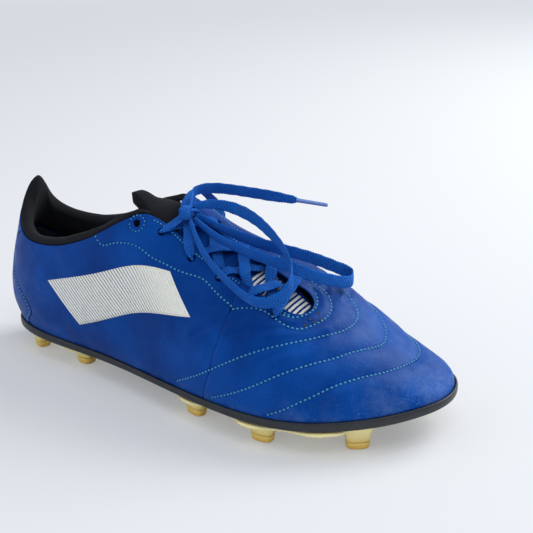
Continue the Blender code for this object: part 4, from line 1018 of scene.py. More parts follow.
def punched(verts, quads, holes):
    """Eyelet holes: faces inside are dropped and the rim is pulled onto the circle.

    Returns the vertices, the quads, the mask of kept vertices and their new numbers.
    """
    verts = verts.copy()
    keep = np.ones(len(quads), bool)
    for centre, axis in holes:
        offset = verts - centre
        along = offset @ axis
        flat = offset - along[:, None] * axis
        radius = np.linalg.norm(flat, axis=1)
        inside = (abs(along) < 4.0) & (radius < EYE_RADIUS)
        keep &= ~inside[quads].all(1)
        rim = np.zeros(len(verts), bool)
        rim[quads[keep].ravel()] = True
        rim &= inside
        outward = flat[rim] / np.maximum(radius[rim], 1e-6)[:, None]
        verts[rim] = centre + along[rim][:, None] * axis + outward * EYE_RADIUS
    used = np.zeros(len(verts), bool)
    used[quads[keep].ravel()] = True
    number = np.cumsum(used) - 1
    return verts[used], number[quads[keep]], used, number


def leather_skin(points, normals, base, puff, up):
    """Outer face of a panel and its attributes; the sole edge (up = 0) stays on the last."""
    height, groove_shade = relief(points, puff)
    skin = points + normals * (base + height * (0.25 + 0.75 * ease(0.0, 0.06, up)))[..., None]
    return skin, {"groove_shade": groove_shade.ravel(), "wear": wear_mask(points).ravel()}


def leather_sheet(name, node, turn, rise, base, puff, holes=()):
    normals = normal(turn, rise)
    skin, attributes = leather_skin(surface(turn, rise), normals, base, puff, rise)
    faces = grid_faces(*turn.shape, flip=needs_flip(skin, normals))
    verts = skin.reshape(-1, 3)
    if holes:
        verts, faces, used, _ = punched(verts, faces, holes)
        attributes = {key: values[used] for key, values in attributes.items()}
    ob = make_object(name, verts, faces, BLUE, attributes=attributes, replaces=node,
                     slot="upper_leather")
    solidify(ob, LEATHER)


def heel_panel():
    length = 85.0
    sideways, up = np.meshgrid(edge_spaced(92, 60.0, start=ROLL) * 2 - 1, edge_spaced(84, length),
                               indexing="ij")
    turn = turn_either(np.abs(sideways) * (HEEL_SEAM(up) - SEAM / 2 + 0.35), sideways)
    from_seam = (1 - np.abs(sideways)) * HEEL_SEAM(up)
    base = 0.22 + rolled(from_seam) + rolled((1 - up) * length, 0.35)
    leather_sheet("heel_leather", "heel_panel", turn, edge_rise(turn) * up, base, puff=0.0)


def quarter(side):
    length = 88.0
    along, up = np.meshgrid(edge_spaced(160, 158.0, start=(0.0, 0.8, 1.4, 1.9, 2.4, 3.0, 3.6)),
                            edge_spaced(86, length), indexing="ij")
    start = HEEL_SEAM(up) - 1.6
    end = LAP(up) - SEAM / 2 + 0.2
    arc = start + (end - start) * along
    turn = turn_of_arc(arc, side)
    base = -LAP_SINK * (1 - ease(-0.6, 1.3, arc - HEEL_SEAM(up)))
    base = base + rolled(end - arc) + rolled((1 - up) * length, 0.4)
    leather_sheet("quarter_leather_" + side, "quarter_" + side, turn, edge_rise(turn) * up, base,
                  puff=0.15, holes=[eye_frame(k, side) for k in range(4)])


VAMP_BACK = 64                  # columns beside the throat


def vamp_half(side):
    """Turn, rise and base height of one half of the vamp."""
    length = 82.0
    back = 1 - (1 - np.linspace(0, 1, VAMP_BACK)) ** 1.6
    front = np.linspace(0, 1, 84)[1:]
    up = edge_spaced(86, length)[None, :]
    start = on_side(turn_of_arc(LAP(up) - 1.6, side), side)
    half = np.concatenate([start + (THROAT_HALF - start) * back[:, None],
                           THROAT_HALF + (1 - THROAT_HALF) * front[:, None] + 0 * up])
    turn = on_side(half, side)
    top = edge_rise(turn)
    top[VAMP_BACK - 1:] = 1.0
    base = -LAP_SINK * (1 - ease(-0.5, 1.3, arc_of_turn(turn) - LAP(up)))
    beside_throat = (np.arange(len(half)) < VAMP_BACK - 3)[:, None]
    return turn, top * up, base + rolled((1 - up) * length, 0.4) * beside_throat


def ease_tip(mesh, centre, radius):
    """Where the halves meet at the end of the ridge, squeezed cells are replaced and smoothed."""
    bm = bmesh.new()
    bm.from_mesh(mesh)
    centre = Vector(to_frame([centre])[0])

    def within(verts, reach):
        return [v for v in verts if (v.co - centre).length < reach * MM]

    bmesh.ops.delete(bm, geom=within(bm.verts, 0.4 * radius), context="VERTS")
    edges = [e for e in bm.edges if e.is_boundary and len(within(e.verts, radius)) == 2]
    patch = bmesh.ops.holes_fill(bm, edges=edges, sides=0)["faces"]
    bmesh.ops.poke(bm, faces=patch)
    near = within(bm.verts, radius)
    for _ in range(14):
        bmesh.ops.smooth_vert(bm, verts=near, factor=0.5, use_axis_x=True, use_axis_y=True,
                              use_axis_z=True)
    bmesh.ops.recalc_face_normals(bm, faces=bm.faces)
    bm.to_mesh(mesh)
    bm.free()
    mesh.shade_smooth()


def vamp():
    halves = [vamp_half(side) for side in SIDES]
    normals = [normal(turn, rise) for turn, rise, _ in halves]
    # the halves share one normal along the ridge and down the toe
    ridge = unit(normals[0][:, -1] + normals[1][:, -1])
    toe = unit(normals[0][-1] + normals[1][-1])
    parts, masks = [], []
    for (turn, rise, base), outward in zip(halves, normals):
        outward[VAMP_BACK:, -1] = ridge[VAMP_BACK:]
        outward[-1] = toe
        up = np.linspace(0, 1, turn.shape[1])[None, :]
        skin, attributes = leather_skin(surface(turn, rise), outward, base, 0.80, up)
        parts.append((skin.reshape(-1, 3),
                      grid_faces(*turn.shape, flip=needs_flip(skin, outward))))
        masks.append(attributes)
    both = {key: np.concatenate([mask[key] for mask in masks]) for key in ("groove_shade", "wear")}
    verts, quads, triangles, both = weld(*joined(parts), both)
    holes = [eye_frame(k, side) for side in SIDES for k in (4, 5)]
    verts, quads, used, number = punched(verts, np.array(quads), holes)
    triangles = [tuple(int(number[i]) for i in face) for face in triangles
                 if all(used[i] for i in face)]
    ob = make_object("vamp_leather", verts, quads.tolist() + triangles, BLUE,
                     attributes={key: values[used] for key, values in both.items()},
                     replaces="vamp", slot="upper_leather")
    ease_tip(ob.data, surface(1.0, 1.0)[0], 5.0)
    solidify(ob, LEATHER)


heel_panel()
for side_name in SIDES:
    quarter(side_name)
vamp()

# ================================================================ stitches
# one stitch: place along its length, share of its radius
STITCH = np.array([(-0.5, 0.05), (-0.38, 0.72), (-0.15, 1.0), (0.15, 1.0), (0.38, 0.72),
                   (0.5, 0.05)])


def stitches(name, lines, pitch=2.5, length=1.72, radius=0.40):
    """Short raised threads sunk into the grooves."""
    place, size = STITCH.T
    around = 6
    angle = 2 * pi * np.arange(around) / around
    first, last = end_caps(len(STITCH), around)
    faces = grid_faces(len(STITCH), around, close=True).tolist() + [first, last[::-1]]
    lift = (-0.30 + 0.46 * (1 - (2 * place) ** 2))[:, None]
    height = lift + radius * 0.8 * size[:, None] * np.sin(angle)
    width = radius * 1.25 * size[:, None] * np.cos(angle)
    parts = []
    for line in lines:
        line, normals, _, _ = snap(line)
        along = length_along(line)
        for k in range(int(along[-1] / pitch)):
            centre = (k + 0.5) * pitch
            points = interp_rows(centre + place * length, along, line)
            outward = unit(interp_rows(centre, along, normals))
            sideways = np.cross(outward, unit(points[-1] - points[0]))
            thread = points[:, None] + outward * height[..., None] + sideways * width[..., None]
            parts.append((thread.reshape(-1, 3), faces))
    make_object(name, *joined(parts), THREAD, slot="lace_weave")


stitches("stitching_toe", QUILT_LINES)
stitches("stitching_sides", SIDE_LINES, pitch=2.6)
stitches("stitching_edges", EDGE_LINES, pitch=2.2, length=1.6, radius=0.33)

# ================================================================ padded collar
# A place along the collar is a signed arc: negative on the lateral side.
COLLAR_END = 131


def collar_section(place):
    """Closed section of the collar: height over the leather edge, offset from the last."""
    arc = abs(place)
    up, depth, thick = float(PAD_UP(arc)), float(PAD_DEPTH(arc)), float(PAD_THICK(arc))
    back = -1.9
    inner = back - thick
    return np.array([
        (0.35, -0.75), (0.75, -0.12), (0.5 * up, 0.10), (0.85 * up, -0.30),
        (up, -0.35 - 0.30 * thick), (0.93 * up, -0.35 - 0.75 * thick),
        (0.55 * up, inner + 0.10 * thick), (0.0, inner), (-0.45 * depth, inner + 0.02 * thick),
        (-0.85 * depth, inner + 0.30 * thick), (-depth, back - 0.40 * thick), (-depth, back),
        (-0.5 * depth, back), (0.1, -1.95), (0.25, -1.5)])


def collar_ring(place, section):
    turn = float(turn_of_arc(abs(place), "lateral" if place < 0 else "medial"))
    rise = float(edge_rise(turn)) + section[:, 0] / float(girth(turn))
    return outside(np.full(len(section), turn), np.minimum(1.2, rise), section[:, 1])


def smooth_loop(loop):
    """Catmull-Rom through a closed loop, three points for each given one."""
    before, after, later = np.roll(loop, 1, 0), np.roll(loop, -1, 0), np.roll(loop, -2, 0)
    points = [0.5 * (2 * loop + (after - before) * u
                     + (2 * before - 5 * loop + 4 * after - later) * u * u
                     + (3 * loop - before - 3 * after + later) * u ** 3)
              for u in (0, 1 / 3, 2 / 3)]
    return np.stack(points, 1).reshape(-1, loop.shape[1])


def foam_puff():
    """Foam pushes the knit out between its seams: a coarse sleeve is run as cloth under a little
    pressure, held at the seams and both ends. Gives the places along the collar and the
    displacements there."""
    frames = 20
    most = 1.3                  # limit of the displacement
    places = np.linspace(-COLLAR_END, COLLAR_END, 84)
    rest = np.array([collar_ring(place, collar_section(place)) for place in places])
    rings, around = rest.shape[:2]
    flip = needs_flip(rest, rest - rest.mean(1, keepdims=True))
    faces = grid_faces(rings, around, close=True, flip=flip).tolist()
    mesh = new_mesh("collar_sleeve", rest.reshape(-1, 3), faces + list(end_caps(rings, around)))
    fix_normals(mesh)
    ob = link_object("collar_sleeve", mesh)
    pin = ob.vertex_groups.new(name="seams")
    index = np.arange(rings * around).reshape(rings, around)
    held = set(index[:, [0, 9, 10, 11, 12, 13, 14]].ravel().tolist())
    held |= set(index[:2].ravel().tolist()) | set(index[-2:].ravel().tolist())
    pin.add(list(held), 1.0, "REPLACE")
    pin.add(index[2:-2, 1].tolist(), 0.6, "REPLACE")
    cloth = ob.modifiers.new("knit", "CLOTH")
    settings = cloth.settings
    settings.quality = 8
    settings.mass = 0.15
    settings.tension_stiffness = 1.0
    settings.compression_stiffness = 1.0
    settings.shear_stiffness = 0.35
    settings.bending_stiffness = 0.06
    settings.vertex_group_mass = "seams"
    settings.use_pressure = True
    settings.uniform_pressure_force = 4.0
    settings.effector_weights.gravity = 0.0
    cloth.collision_settings.use_self_collision = False
    cloth.point_cache.frame_start = 1
    cloth.point_cache.frame_end = frames
    scene = bpy.context.scene
    for number in range(1, frames + 1):
        scene.frame_set(number)
        bpy.context.view_layer.update()
    graph = bpy.context.evaluated_depsgraph_get()
    puffed = bpy.data.meshes.new_from_object(ob.evaluated_get(graph))
    verts = np.empty(len(puffed.vertices) * 3)
    puffed.vertices.foreach_get("co", verts)
    move = verts.reshape(rings, around, 3) / MM + np.array(ORIGIN) - rest
    scene.frame_set(1)
    bpy.data.objects.remove(ob, do_unlink=True)
    size = np.linalg.norm(move, axis=2, keepdims=True)
    move = move * np.minimum(1.0, most / np.maximum(size, 1e-6))
    move[~np.isfinite(move)] = 0.0
    # neighbouring rings are evened out a little
    move[1:-1] = 0.25 * move[:-2] + 0.5 * move[1:-1] + 0.25 * move[2:]
    return places, move


def collar():
    puff = foam_puff()
    places = np.concatenate([np.linspace(-COLLAR_END, -100, 40)[:-1], np.linspace(-100, 100, 190),
                             np.linspace(100, COLLAR_END, 40)[1:]])
    end_length = 5.0
    rings, uvs = [], []
    for place in places:
        section = smooth_loop(collar_section(place))
        # the sleeve closes to a rounded end
        if abs(place) > COLLAR_END - end_length:
            share = (COLLAR_END - abs(place)) / end_length
            middle = section.mean(0)
            size = 0.55 + 0.45 * np.sqrt(max(0.0, 1 - (1 - share) ** 2))
            section = middle + (section - middle) * size
        ring = collar_ring(place, section)
        if puff is not None:
            puff_places, move = puff
            here = interp_rows(place, puff_places, move.reshape(len(puff_places), -1))
            ring = ring + smooth_loop(here.reshape(-1, 3))
        rings.append(ring)
        uvs.append(np.stack([np.full(len(ring), place), length_along(ring)], -1))
    points = np.array(rings)
    outward = points - points.mean(1, keepdims=True)
    # the foam is slightly uneven
    points = points + unit(outward) * (0.22 * fractal(points, 11.0, 5.0, 2))[..., None]
    faces = tube_faces(*points.shape[:2], flip=needs_flip(points, outward))
    make_object("collar_knit_padding", points.reshape(-1, 3), faces, KNIT,
                uv=np.array(uvs).reshape(-1, 2), replaces="collar_padding", slot="collar_knit")


collar()


# ================================================================ lining and tongue
def quarter_lining():
    end_arc = 172.0
    bottom = 0.045
    sideways, up = np.meshgrid(np.linspace(-1, 1, 170), np.linspace(0, 1, 50), indexing="ij")
    turn = turn_either(np.abs(sideways) * end_arc, sideways)
    arc = arc_of_turn(turn)
    below_edge = PAD_DEPTH(arc) + 2.5
    below_edge = below_edge + (14.5 - below_edge) * ease(112, 128, arc)
    top = edge_rise(turn) - below_edge / girth(turn)
    rise = bottom + (top - bottom) * up
    last = surface(turn, rise)
    normals = normal(turn, rise)
    points = last + normals * (-3.6 + 0.12 * fractal(last, 16.0, 2.0, 2))[..., None]
    faces = grid_faces(*turn.shape, flip=needs_flip(points, normals))
    ob = make_object("quarter_lining_cloth", points.reshape(-1, 3), faces, LINING,
                     uv=np.stack([sideways * end_arc, up * 80.0], -1).reshape(-1, 2),
                     replaces="quarter_lining", slot="lining_textile")
    solidify(ob, 0.7)


# half width of the tongue against x
TONGUE_WIDTH = Curve([(95, 8), (101, 11.5), (106, 15.0), (112, 19.5), (120, 22), (146, 20.5),
                      (178, 18), (200, 13), (211, 7)])


def tongue():
    middle, half_thick = -6.75, 1.35
    xs = np.concatenate([np.linspace(209.5, 112, 100), np.linspace(112, 97, 24)[1:]])
    shares = np.concatenate([[-1.0, -0.97], np.linspace(-0.93, 0.93, 30), [0.97, 1.0]])
    x, share = np.meshgrid(xs, shares, indexing="ij")
    across = share * TONGUE_WIDTH(x)
    thick = half_thick * (np.sqrt(np.maximum(0, 1 - np.abs(share) ** 5)) * 0.85 + 0.15)
    thick = thick * (np.sqrt(np.clip((x - 96.2) / 4.0, 0, 1)) * 0.8 + 0.2)
    # the free end lifts along its middle
    lift = 5.0 * ease(0, 1, (109 - x) / 12.0) * (1 - ease(3.5, 10.0, np.abs(across)))
    lift = np.stack([0 * x, 0 * x, lift], -1)
    ripple = 0.125 * np.cos(share * pi * 2.5) * ease(105, 125, x)
    ripple = np.where(np.abs(share) < 0.97, ripple, 0)
    top = lacing(x, across, middle + thick + ripple) + lift
    bottom = lacing(x, across, middle - thick) + lift
    points = np.concatenate([top, bottom[:, ::-1]], 1)
    rows, around = points.shape[:2]
    faces = tube_faces(rows, around,
                       flip=needs_flip(points, points - points.mean(1, keepdims=True)))
    uv = np.stack([np.repeat(xs[:, None], around, 1),
                   np.concatenate([across, across[:, ::-1]], 1)], -1)
    zeros = np.zeros(rows * around)
    ob = make_object("tongue_soft", points.reshape(-1, 3), faces, [BLUE, KNIT], "tongue",
                     uv=uv.reshape(-1, 2), attributes={"wear": zeros, "groove_shade": zeros},
                     replaces="tongue", slot="upper_leather")
    # knit on the free end and the underside, leather elsewhere
    knit = [xs[face[0] // around] < 126 or face[0] % around >= around // 2 for face in faces]
    ob.data.polygons.foreach_set("material_index", np.array(knit, np.int32))


def tongue_hatch():
    """Printed bars across the root of the tongue."""
    height = -5.22
    columns = 12
    faces = [(i, i + 1, columns + 1 + i, columns + i) for i in range(columns - 1)]
    parts = []
    for k in range(13):
        x = 206.5 - 2.6 * k
        reach = float(TONGUE_WIDTH(x)) * 0.62
        across = np.linspace(-reach, reach, columns)
        rear = np.clip(x + 0.25 * across, 97, 208.5)
        front = np.clip(rear + 1.45, 97, 209)
        parts.append((np.concatenate([lacing(rear, across, height),
                                      lacing(front, across, height)]), faces))
    verts, faces = joined(parts)
    first, second, third = verts[faces[0][:3]]
    if np.cross(second - first, third - second)[2] < 0:
        faces = [face[::-1] for face in faces]
    ob = make_object("tongue_hatch_print", verts, faces, PRINT, "tongue", slot="side_print")
    solidify(ob, 0.25)


def hatched_band(side):
    """A row of bars across the side, whose gaps close towards the front."""
    count = 44
    up = np.linspace(0, 1, 12)[None]
    parts = []
    for k in range(count):
        start = k / count
        gap = 0.30 * (1 - ease(0.55, 0.98, start)) * 0.9
        end = (k + 1 - gap) / count if k < count - 1 else 1.0
        along = np.array([start, (start + end) / 2, end])[:, None]
        turn = turn_of_arc(62 + 92 * along + 26 * up * (1 - 0.25 * along), side)
        rise = 0.17 + 0.33 * along + (0.20 - 0.02 * along) * (1 - up)
        last = surface(turn, rise)
        normals = normal(turn, rise)
        points = last + normals * (relief(last, 0.15)[0] + 0.22)[..., None]
        parts.append((points.reshape(-1, 3),
                      grid_faces(3, 12, flip=needs_flip(points, normals))))
    ob = make_object("hatched_band_" + side, *joined(parts), PRINT,
                     replaces="side_print_" + side, slot="side_print")
    solidify(ob, 0.24)


VENTS = [(216.3, -18.5, 62), (214.0, -16.2, 63.5), (215.0, -22.2, 61.5), (211.8, -26.3, 60.6),
         (212.4, -22.0, 62.3)]
# radius, height over the leather
VENT_PROFILE = [(0.0, -0.05), (0.42, -0.02), (0.50, 0.10), (0.62, 0.24), (0.78, 0.22),
                (0.92, 0.05), (0.95, -0.25)]


def vent_holes():
    """Small air holes in front of the throat: a shallow black disc with a pressed rim; its black
    stands in for the hole, painted shade inside it with the dark lining behind.
    """
    around = 20
    angle = np.linspace(0, 2 * pi, around, endpoint=False)[:, None]
    faces = grid_faces(len(VENT_PROFILE), around, close=True).tolist() + [tuple(range(around))]
    parts = []
    for place in VENTS:
        points, normals, _, _ = snap(np.array([place]))
        axis = normals[0]
        centre = points[0] + axis * relief(points, 0.80)[0][0]
        first, second = plane_axes(axis)
        rings = [centre + axis * height + radius * (np.cos(angle) * first + np.sin(angle) * second)
                 for radius, height in VENT_PROFILE]
        parts.append((np.concatenate(rings), faces))
    # painted shade: the holes are not cut, and the black sole material stands in for their dark
    # inside
    fix_normals(make_object("vent_holes", *joined(parts), SOLE).data)


quarter_lining()
tongue()
tongue_hatch()
for side_name in SIDES:
    hatched_band(side_name)
vent_holes()

# ================================================================ sole
# height of the outsole's underside against x
BOTTOM_Z = Curve([(-12, 13.4), (10, 13.0), (40, 12.6), (120, 12.6), (183, 13.0), (225, 13.8),
                  (250, 15.4), (268, 18.0), (284, 21.8)])
# outsole rings: distance out from the sole edge, lift, lift measured from the underside
OUTSOLE_RINGS = [
    (-2.4, -1.0, False), (0.45, -1.0, False), (0.52, 0.12, False), (0.66, 0.42, False),
    (0.95, 0.56, False), (1.32, 0.50, False), (1.66, 0.20, False), (1.88, -0.35, False),
    (1.98, -1.2, False), (1.97, 1.4, True), (1.80, 0.65, True), (1.40, 0.18, True),
    (0.7, 0.0, True), (-1.5, 0.0, True)]


def sole_edge(turn, out, lift, from_bottom=False):
    points = surface(turn, np.zeros_like(turn))
    outward = normal(turn, np.full_like(turn, 0.02))
    outward[..., 2] = 0
    edge = points + unit(outward) * np.asarray(out)[..., None]
    edge[..., 2] = (BOTTOM_Z if from_bottom else EDGE_Z)(points[..., 0]) + lift
    return edge


def outsole():
    lateral = turn_of_arc(np.linspace(0, LATERAL_ARC, 230), "lateral")
    half = len(lateral)
    turns = np.concatenate([lateral, 2 - lateral[-2:0:-1]])
    rings = np.array([sole_edge(turns, *row) for row in OUTSOLE_RINGS])
    # slight unevenness of the moulded rim
    rings[2:12, :, 2] += 0.10 * fractal(rings, 20.0, 9.0, 2)[2:12]

    def cap(ring, ribbed):
        medial = np.concatenate([ring[:1], ring[half:][::-1], ring[half - 1:half]])
        grid, from_edge = span_between(ring[:half], medial, 61)
        if ribbed:
            x, y = grid[..., 0], grid[..., 1]
            chevron = 0.5 + 0.5 * np.sin((x + 0.7 * np.abs(y - 1.0)) * 2 * pi / 9.0)
            waist = ease(92, 100, x) * (1 - ease(140, 150, x))
            ribs = 0.9 * ease(0.15, 0.75, chevron) * waist
            spine = 1.3 * bell(y + 1.0, 5.0) * ease(88, 98, x) * (1 - ease(150, 160, x))
            grid[..., 2] -= ease(2.0, 6.0, from_edge) * (ribs + spine)
        return grid.reshape(-1, 3), grid_faces(half, 61, flip=ribbed)

    wall = (rings.reshape(-1, 3), grid_faces(len(rings), len(turns), close=True))
    verts, quads, triangles, _ = weld(*joined([wall, cap(rings[0], False), cap(rings[-1], True)]),
                                      {})
    ob = make_object("outsole_black", verts, quads + triangles, SOLE, replaces="outsole_plate",
                     slot="sole_black")
    fix_normals(ob.data)


# inset of the stud plates from the sole edge against arc
FORE_INSET_LATERAL = Curve([
    (144, 20), (156, 11), (166, 0.2), (174, -2.1), (182, -0.6), (192, 7.5), (202, 5.0),
    (212, -1.6), (222, -2.1), (236, 1.4), (250, -1.5), (262, -2.1), (270, 0.4), (278, 8),
    (284, 14)])
FORE_INSET_MEDIAL = Curve([
    (144, 20), (156, 11), (166, 1.2), (178, -2.0), (188, 0.2), (198, 7.5), (208, 5.0),
    (220, -1.4), (230, -2.0), (242, 2.4), (256, -1.2), (266, -2.0), (275, 2.5), (284, 12)])
HEEL_INSET = Curve([(14, 9), (20, 3.4), (30, 0.2), (42, 2.2), (58, 3.8), (72, 0.2), (82, 1.8),
                    (92, 11)])
# studs: x, y, angle in radians, kind
FORE_STUDS = {
    "fore_lateral_rear": (151.0, -41.0, -0.30, "blade"),
    "fore_lateral_mid": (198.0, -47.5, 0.0, "blade"),
    "fore_lateral_front": (245.0, -29.5, 0.62, "blade"),
    "fore_medial_rear": (157.0, 31.0, 0.13, "blade"),
    "fore_medial_mid": (205.0, 38.0, 0.05, "blade"),
    "fore_medial_front": (249.0, 31.5, -0.38, "blade"),
    "fore_centre": (226.0, 0.5, 0.0, "cone"),
}
HEEL_STUDS = {
    "heel_lateral_rear": (14.0, -15.5, -0.55, "cone"),
    "heel_lateral_front": (55.0, -21.0, -0.10, "cone"),
    "heel_medial_rear": (14.0, 13.5, 0.50, "cone"),
    "heel_medial_front": (55.0, 18.5, 0.06, "cone"),
}
# share of the way down (negative is inside the plate), half length, half width
STUD_PROFILE = {
    "blade": [(-0.10, 13.5, 8.6), (0.02, 11.8, 7.8), (0.14, 9.6, 6.4), (0.32, 8.1, 5.3),
              (0.6, 7.0, 4.6), (1.0, 6.5, 4.1)],
    "cone": [(-0.10, 11.0, 9.2), (0.02, 9.6, 8.2), (0.14, 8.0, 6.8), (0.32, 6.9, 5.8),
             (0.6, 6.0, 5.0), (1.0, 5.5, 4.6)],
}
# z, size as a share of the stud's end
TIP_PROFILE = [(TIP_TOP, 0.93), (3.82, 0.985), (3.6, 1.0), (2.4, 0.975), (1.2, 0.95),
               (0.55, 0.925), (0.2, 0.885), (0.05, 0.84), (0.0, 0.78)]


def stud_ring(stud, z, length, width, around):
    """Superelliptic ring round a stud; length and width are halves."""
    x, y, turned, _ = stud
    angle = np.linspace(0, 2 * pi, around, endpoint=False)
    power = 2 / 3
    ahead = length * np.abs(np.cos(angle)) ** power * np.sign(np.cos(angle))
    aside = width * np.abs(np.sin(angle)) ** power * np.sign(np.sin(angle))
    return np.stack([x + ahead * cos(turned) - aside * sin(turned),
                     y + ahead * sin(turned) + aside * cos(turned), np.full(around, z)], -1)


def stud_body(stud):
    around = 36
    profile = STUD_PROFILE[stud[3]]
    rings = []
    for share, length, width in profile:
        ring = stud_ring(stud, 0.0, length, width, around)
        root = BOTTOM_Z(ring[:, 0]) - 1.25
        ring[:, 2] = root + (STUD_END - root) * max(share, 0.0) + (0.35 if share < 0 else 0.0)
        rings.append(ring)
    return np.concatenate(rings), tube_faces(len(profile), around)


def stud_plate(name, node, arcs, insets, studs, voxel):
    """Plate and studs grown together by a voxel remesh; insets are lateral, medial."""
    rows, columns = 90, 34
    arcs = np.linspace(*arcs, rows)
    edges = [sole_edge(turn_of_arc(arcs, side), -inset(arcs), -0.62, from_bottom=True)
             for side, inset in zip(SIDES, insets)]
    top, from_edge = span_between(*edges, columns)
    low = top.copy()
    low[..., 2] -= 1.55 + 0.75 * (1 - ease(0, 7, from_edge))      # thicker bead round the edge
    slab = (np.concatenate([top.reshape(-1, 3), low.reshape(-1, 3)]), slab_faces(rows, columns))
    mesh = new_mesh(name, *joined([slab] + [stud_body(stud) for stud in studs.values()]))
    fix_normals(mesh)
    ob = link_object(name, mesh)
    remesh = ob.modifiers.new("grow", "REMESH")
    remesh.mode = "VOXEL"
    remesh.voxel_size = voxel * MM
    remesh.adaptivity = 0.0
    fillet = ob.modifiers.new("fillet", "SMOOTH")
    fillet.factor = 0.5
    fillet.iterations = 7
    graph = bpy.context.evaluated_depsgraph_get()
    grown = bpy.data.meshes.new_from_object(ob.evaluated_get(graph))
    ob.modifiers.clear()
    ob.data = grown
    # flat ends where the stud tips take over
    verts = np.empty(len(grown.vertices) * 3)
    grown.vertices.foreach_get("co", verts)
    z = verts.reshape(-1, 3)[:, 2]
    end = STUD_END * MM
    near_end = z < end + 0.0009
    z[near_end] = end + (z[near_end] - end) * 0.25
    grown.vertices.foreach_set("co", verts)
    grown.shade_smooth()
    grown.materials.clear()
    grown.materials.append(CREAM)
    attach(ob, "shoe")
    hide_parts(node)


def stud_tip(name, stud):
    around = 40
    length, width = STUD_PROFILE[stud[3]][-1][1:]
    rings = [stud_ring(stud, z, length * size, width * size * (1 if z > 1 else 0.99), around)
             for z, size in TIP_PROFILE]
    # shallow hollow under the tip
    rings += [stud_ring(stud, z, length * size, width * size, around)
              for z, size in ((0.0, 0.5), (0.12, 0.42))]
    node = "stud_tip_" + name
    ob = make_object(node + "_fine", np.concatenate(rings), tube_faces(len(rings), around), AMBER,
                     replaces=node, slot="stud_tip")
    fix_normals(ob.data)


def sockliner():
    lateral = turn_of_arc(np.linspace(0, LATERAL_ARC, 150), "lateral")

    def layer(out, lift):
        edges = []
        for turns in (lateral, 2 - lateral):
            x = sole_edge(turns, 0.0, 0.0)[..., 0]
            edges.append(sole_edge(turns, out - 7.5 * ease(252, 280, x), lift))
        return span_between(*edges, 49)

    top, from_edge = layer(-6.15, 3.2)
    bottom, _ = layer(-6.25, 1.45)
    heel_cup = 1.3 * (1 - ease(0, 9, from_edge)) * (1 - ease(70, 120, top[..., 0]))
    top[..., 2] += 0.675 * ease(0, 3.0, from_edge) + heel_cup * ease(0, 1.2, from_edge) - 0.25
    top[..., 2] += 0.15 * fractal(top, 25.0, 4.0, 2) * ease(0, 4, from_edge)
    verts = np.concatenate([top.reshape(-1, 3), bottom.reshape(-1, 3)])
    verts, quads, triangles, extra = weld(verts, slab_faces(*top.shape[:2]), {"uv": verts[:, :2]})
    ob = make_object("sockliner_cloth", verts, quads + triangles, SOCK, "sockliner",
                     uv=extra["uv"], replaces="sockliner", slot="collar_knit")
    fix_normals(ob.data)


outsole()
stud_plate("forefoot_studs_cream", "forefoot_stud_plate", arcs=(146, 276),
           insets=(FORE_INSET_LATERAL, FORE_INSET_MEDIAL), studs=FORE_STUDS, voxel=0.75)
stud_plate("heel_studs_cream", "heel_stud_plate", arcs=(12, 92), insets=(HEEL_INSET, HEEL_INSET),
           studs=HEEL_STUDS, voxel=0.7)
for stud_name, stud_place in (FORE_STUDS | HEEL_STUDS).items():
    stud_tip(stud_name, stud_place)
sockliner()


# ================================================================ laces
def ribbon(points, directions, widths, thick=1.2, twist=None, fold=0.14, seed=0.0):
    """Vertices, faces and UVs of a woven strip along the points.

    directions point across the strip, twist is in degrees and fold is the depth of its cupping.
    """
    points = np.array(points, float)
    knots = length_along(points)
    count = max(8, int(knots[-1] / 0.375))
    along = np.linspace(0, knots[-1], count)
    line = spline_eval(knots, points, spline_fit(knots, points), along)
    forward = unit(np.gradient(line, along, axis=0))
    across = interp_rows(along, knots, np.array(directions, float))
    across = unit(across - forward * (across * forward).sum(1)[:, None])
    upward = np.cross(forward, across)
    if twist is not None:
        angle = np.radians(np.interp(along, knots, twist))[:, None]
        across, upward = (across * np.cos(angle) + upward * np.sin(angle),
                          upward * np.cos(angle) - across * np.sin(angle))
    # scalloped woven edge
    half = np.interp(along, knots, widths) / 2 + 0.26 * np.abs(np.sin(along * pi / 1.5)) - 0.08
    half = half * (1 + 0.03 * np.sin(along * 0.9 + seed))
    fullness = np.clip(half / 3.1, 0.35, 1)
    around = 18
    angle = np.linspace(0, 2 * pi, around, endpoint=False)
    wide = (np.sign(np.cos(angle)) * np.abs(np.cos(angle)) ** 0.62)[None]
    high = (np.sign(np.sin(angle)) * np.abs(np.sin(angle)) ** 0.75)[None]
    half_thick = thick / 2 * (1 + 0.9 * (1 - fullness))
    x = half[:, None] * wide
    z = half_thick[:, None] * high * (1 - 0.30 * np.abs(wide) ** 3)
    # the strip cups a little across its width and waves along its length
    z = z - fold * (1 - wide ** 2) * fullness[:, None]
    z = z + 0.10 * np.sin(along * 0.55 + seed)[:, None] * (1 - 0.5 * wide ** 2)
    verts = line[:, None] + across[:, None] * x[..., None] + upward[:, None] * z[..., None]
    for end in (0, -1):
        verts[end] = line[end] + (verts[end] - line[end]) * 0.55
    uv = np.stack([np.repeat(along[:, None], around, 1), x + 3.2], -1).reshape(-1, 2)
    return verts.reshape(-1, 3), tube_faces(count, around), uv


def lace_piece(node, parts, body="shoe"):
    ob = make_object(node + "_woven", *joined(parts), LACE, body,
                     uv=np.concatenate([part[2] for part in parts]), replaces=node,
                     slot="lace_weave")
    fix_normals(ob.data)


def across_path(points):
    """Directions across a lace that lies flat along the points."""
    last = len(points) - 1
    ways = [points[min(last, i + 1)] - points[max(0, i - 1)] for i in range(last + 1)]
    return unit(np.cross(ways, (0.25, -0.15, 1.0)))


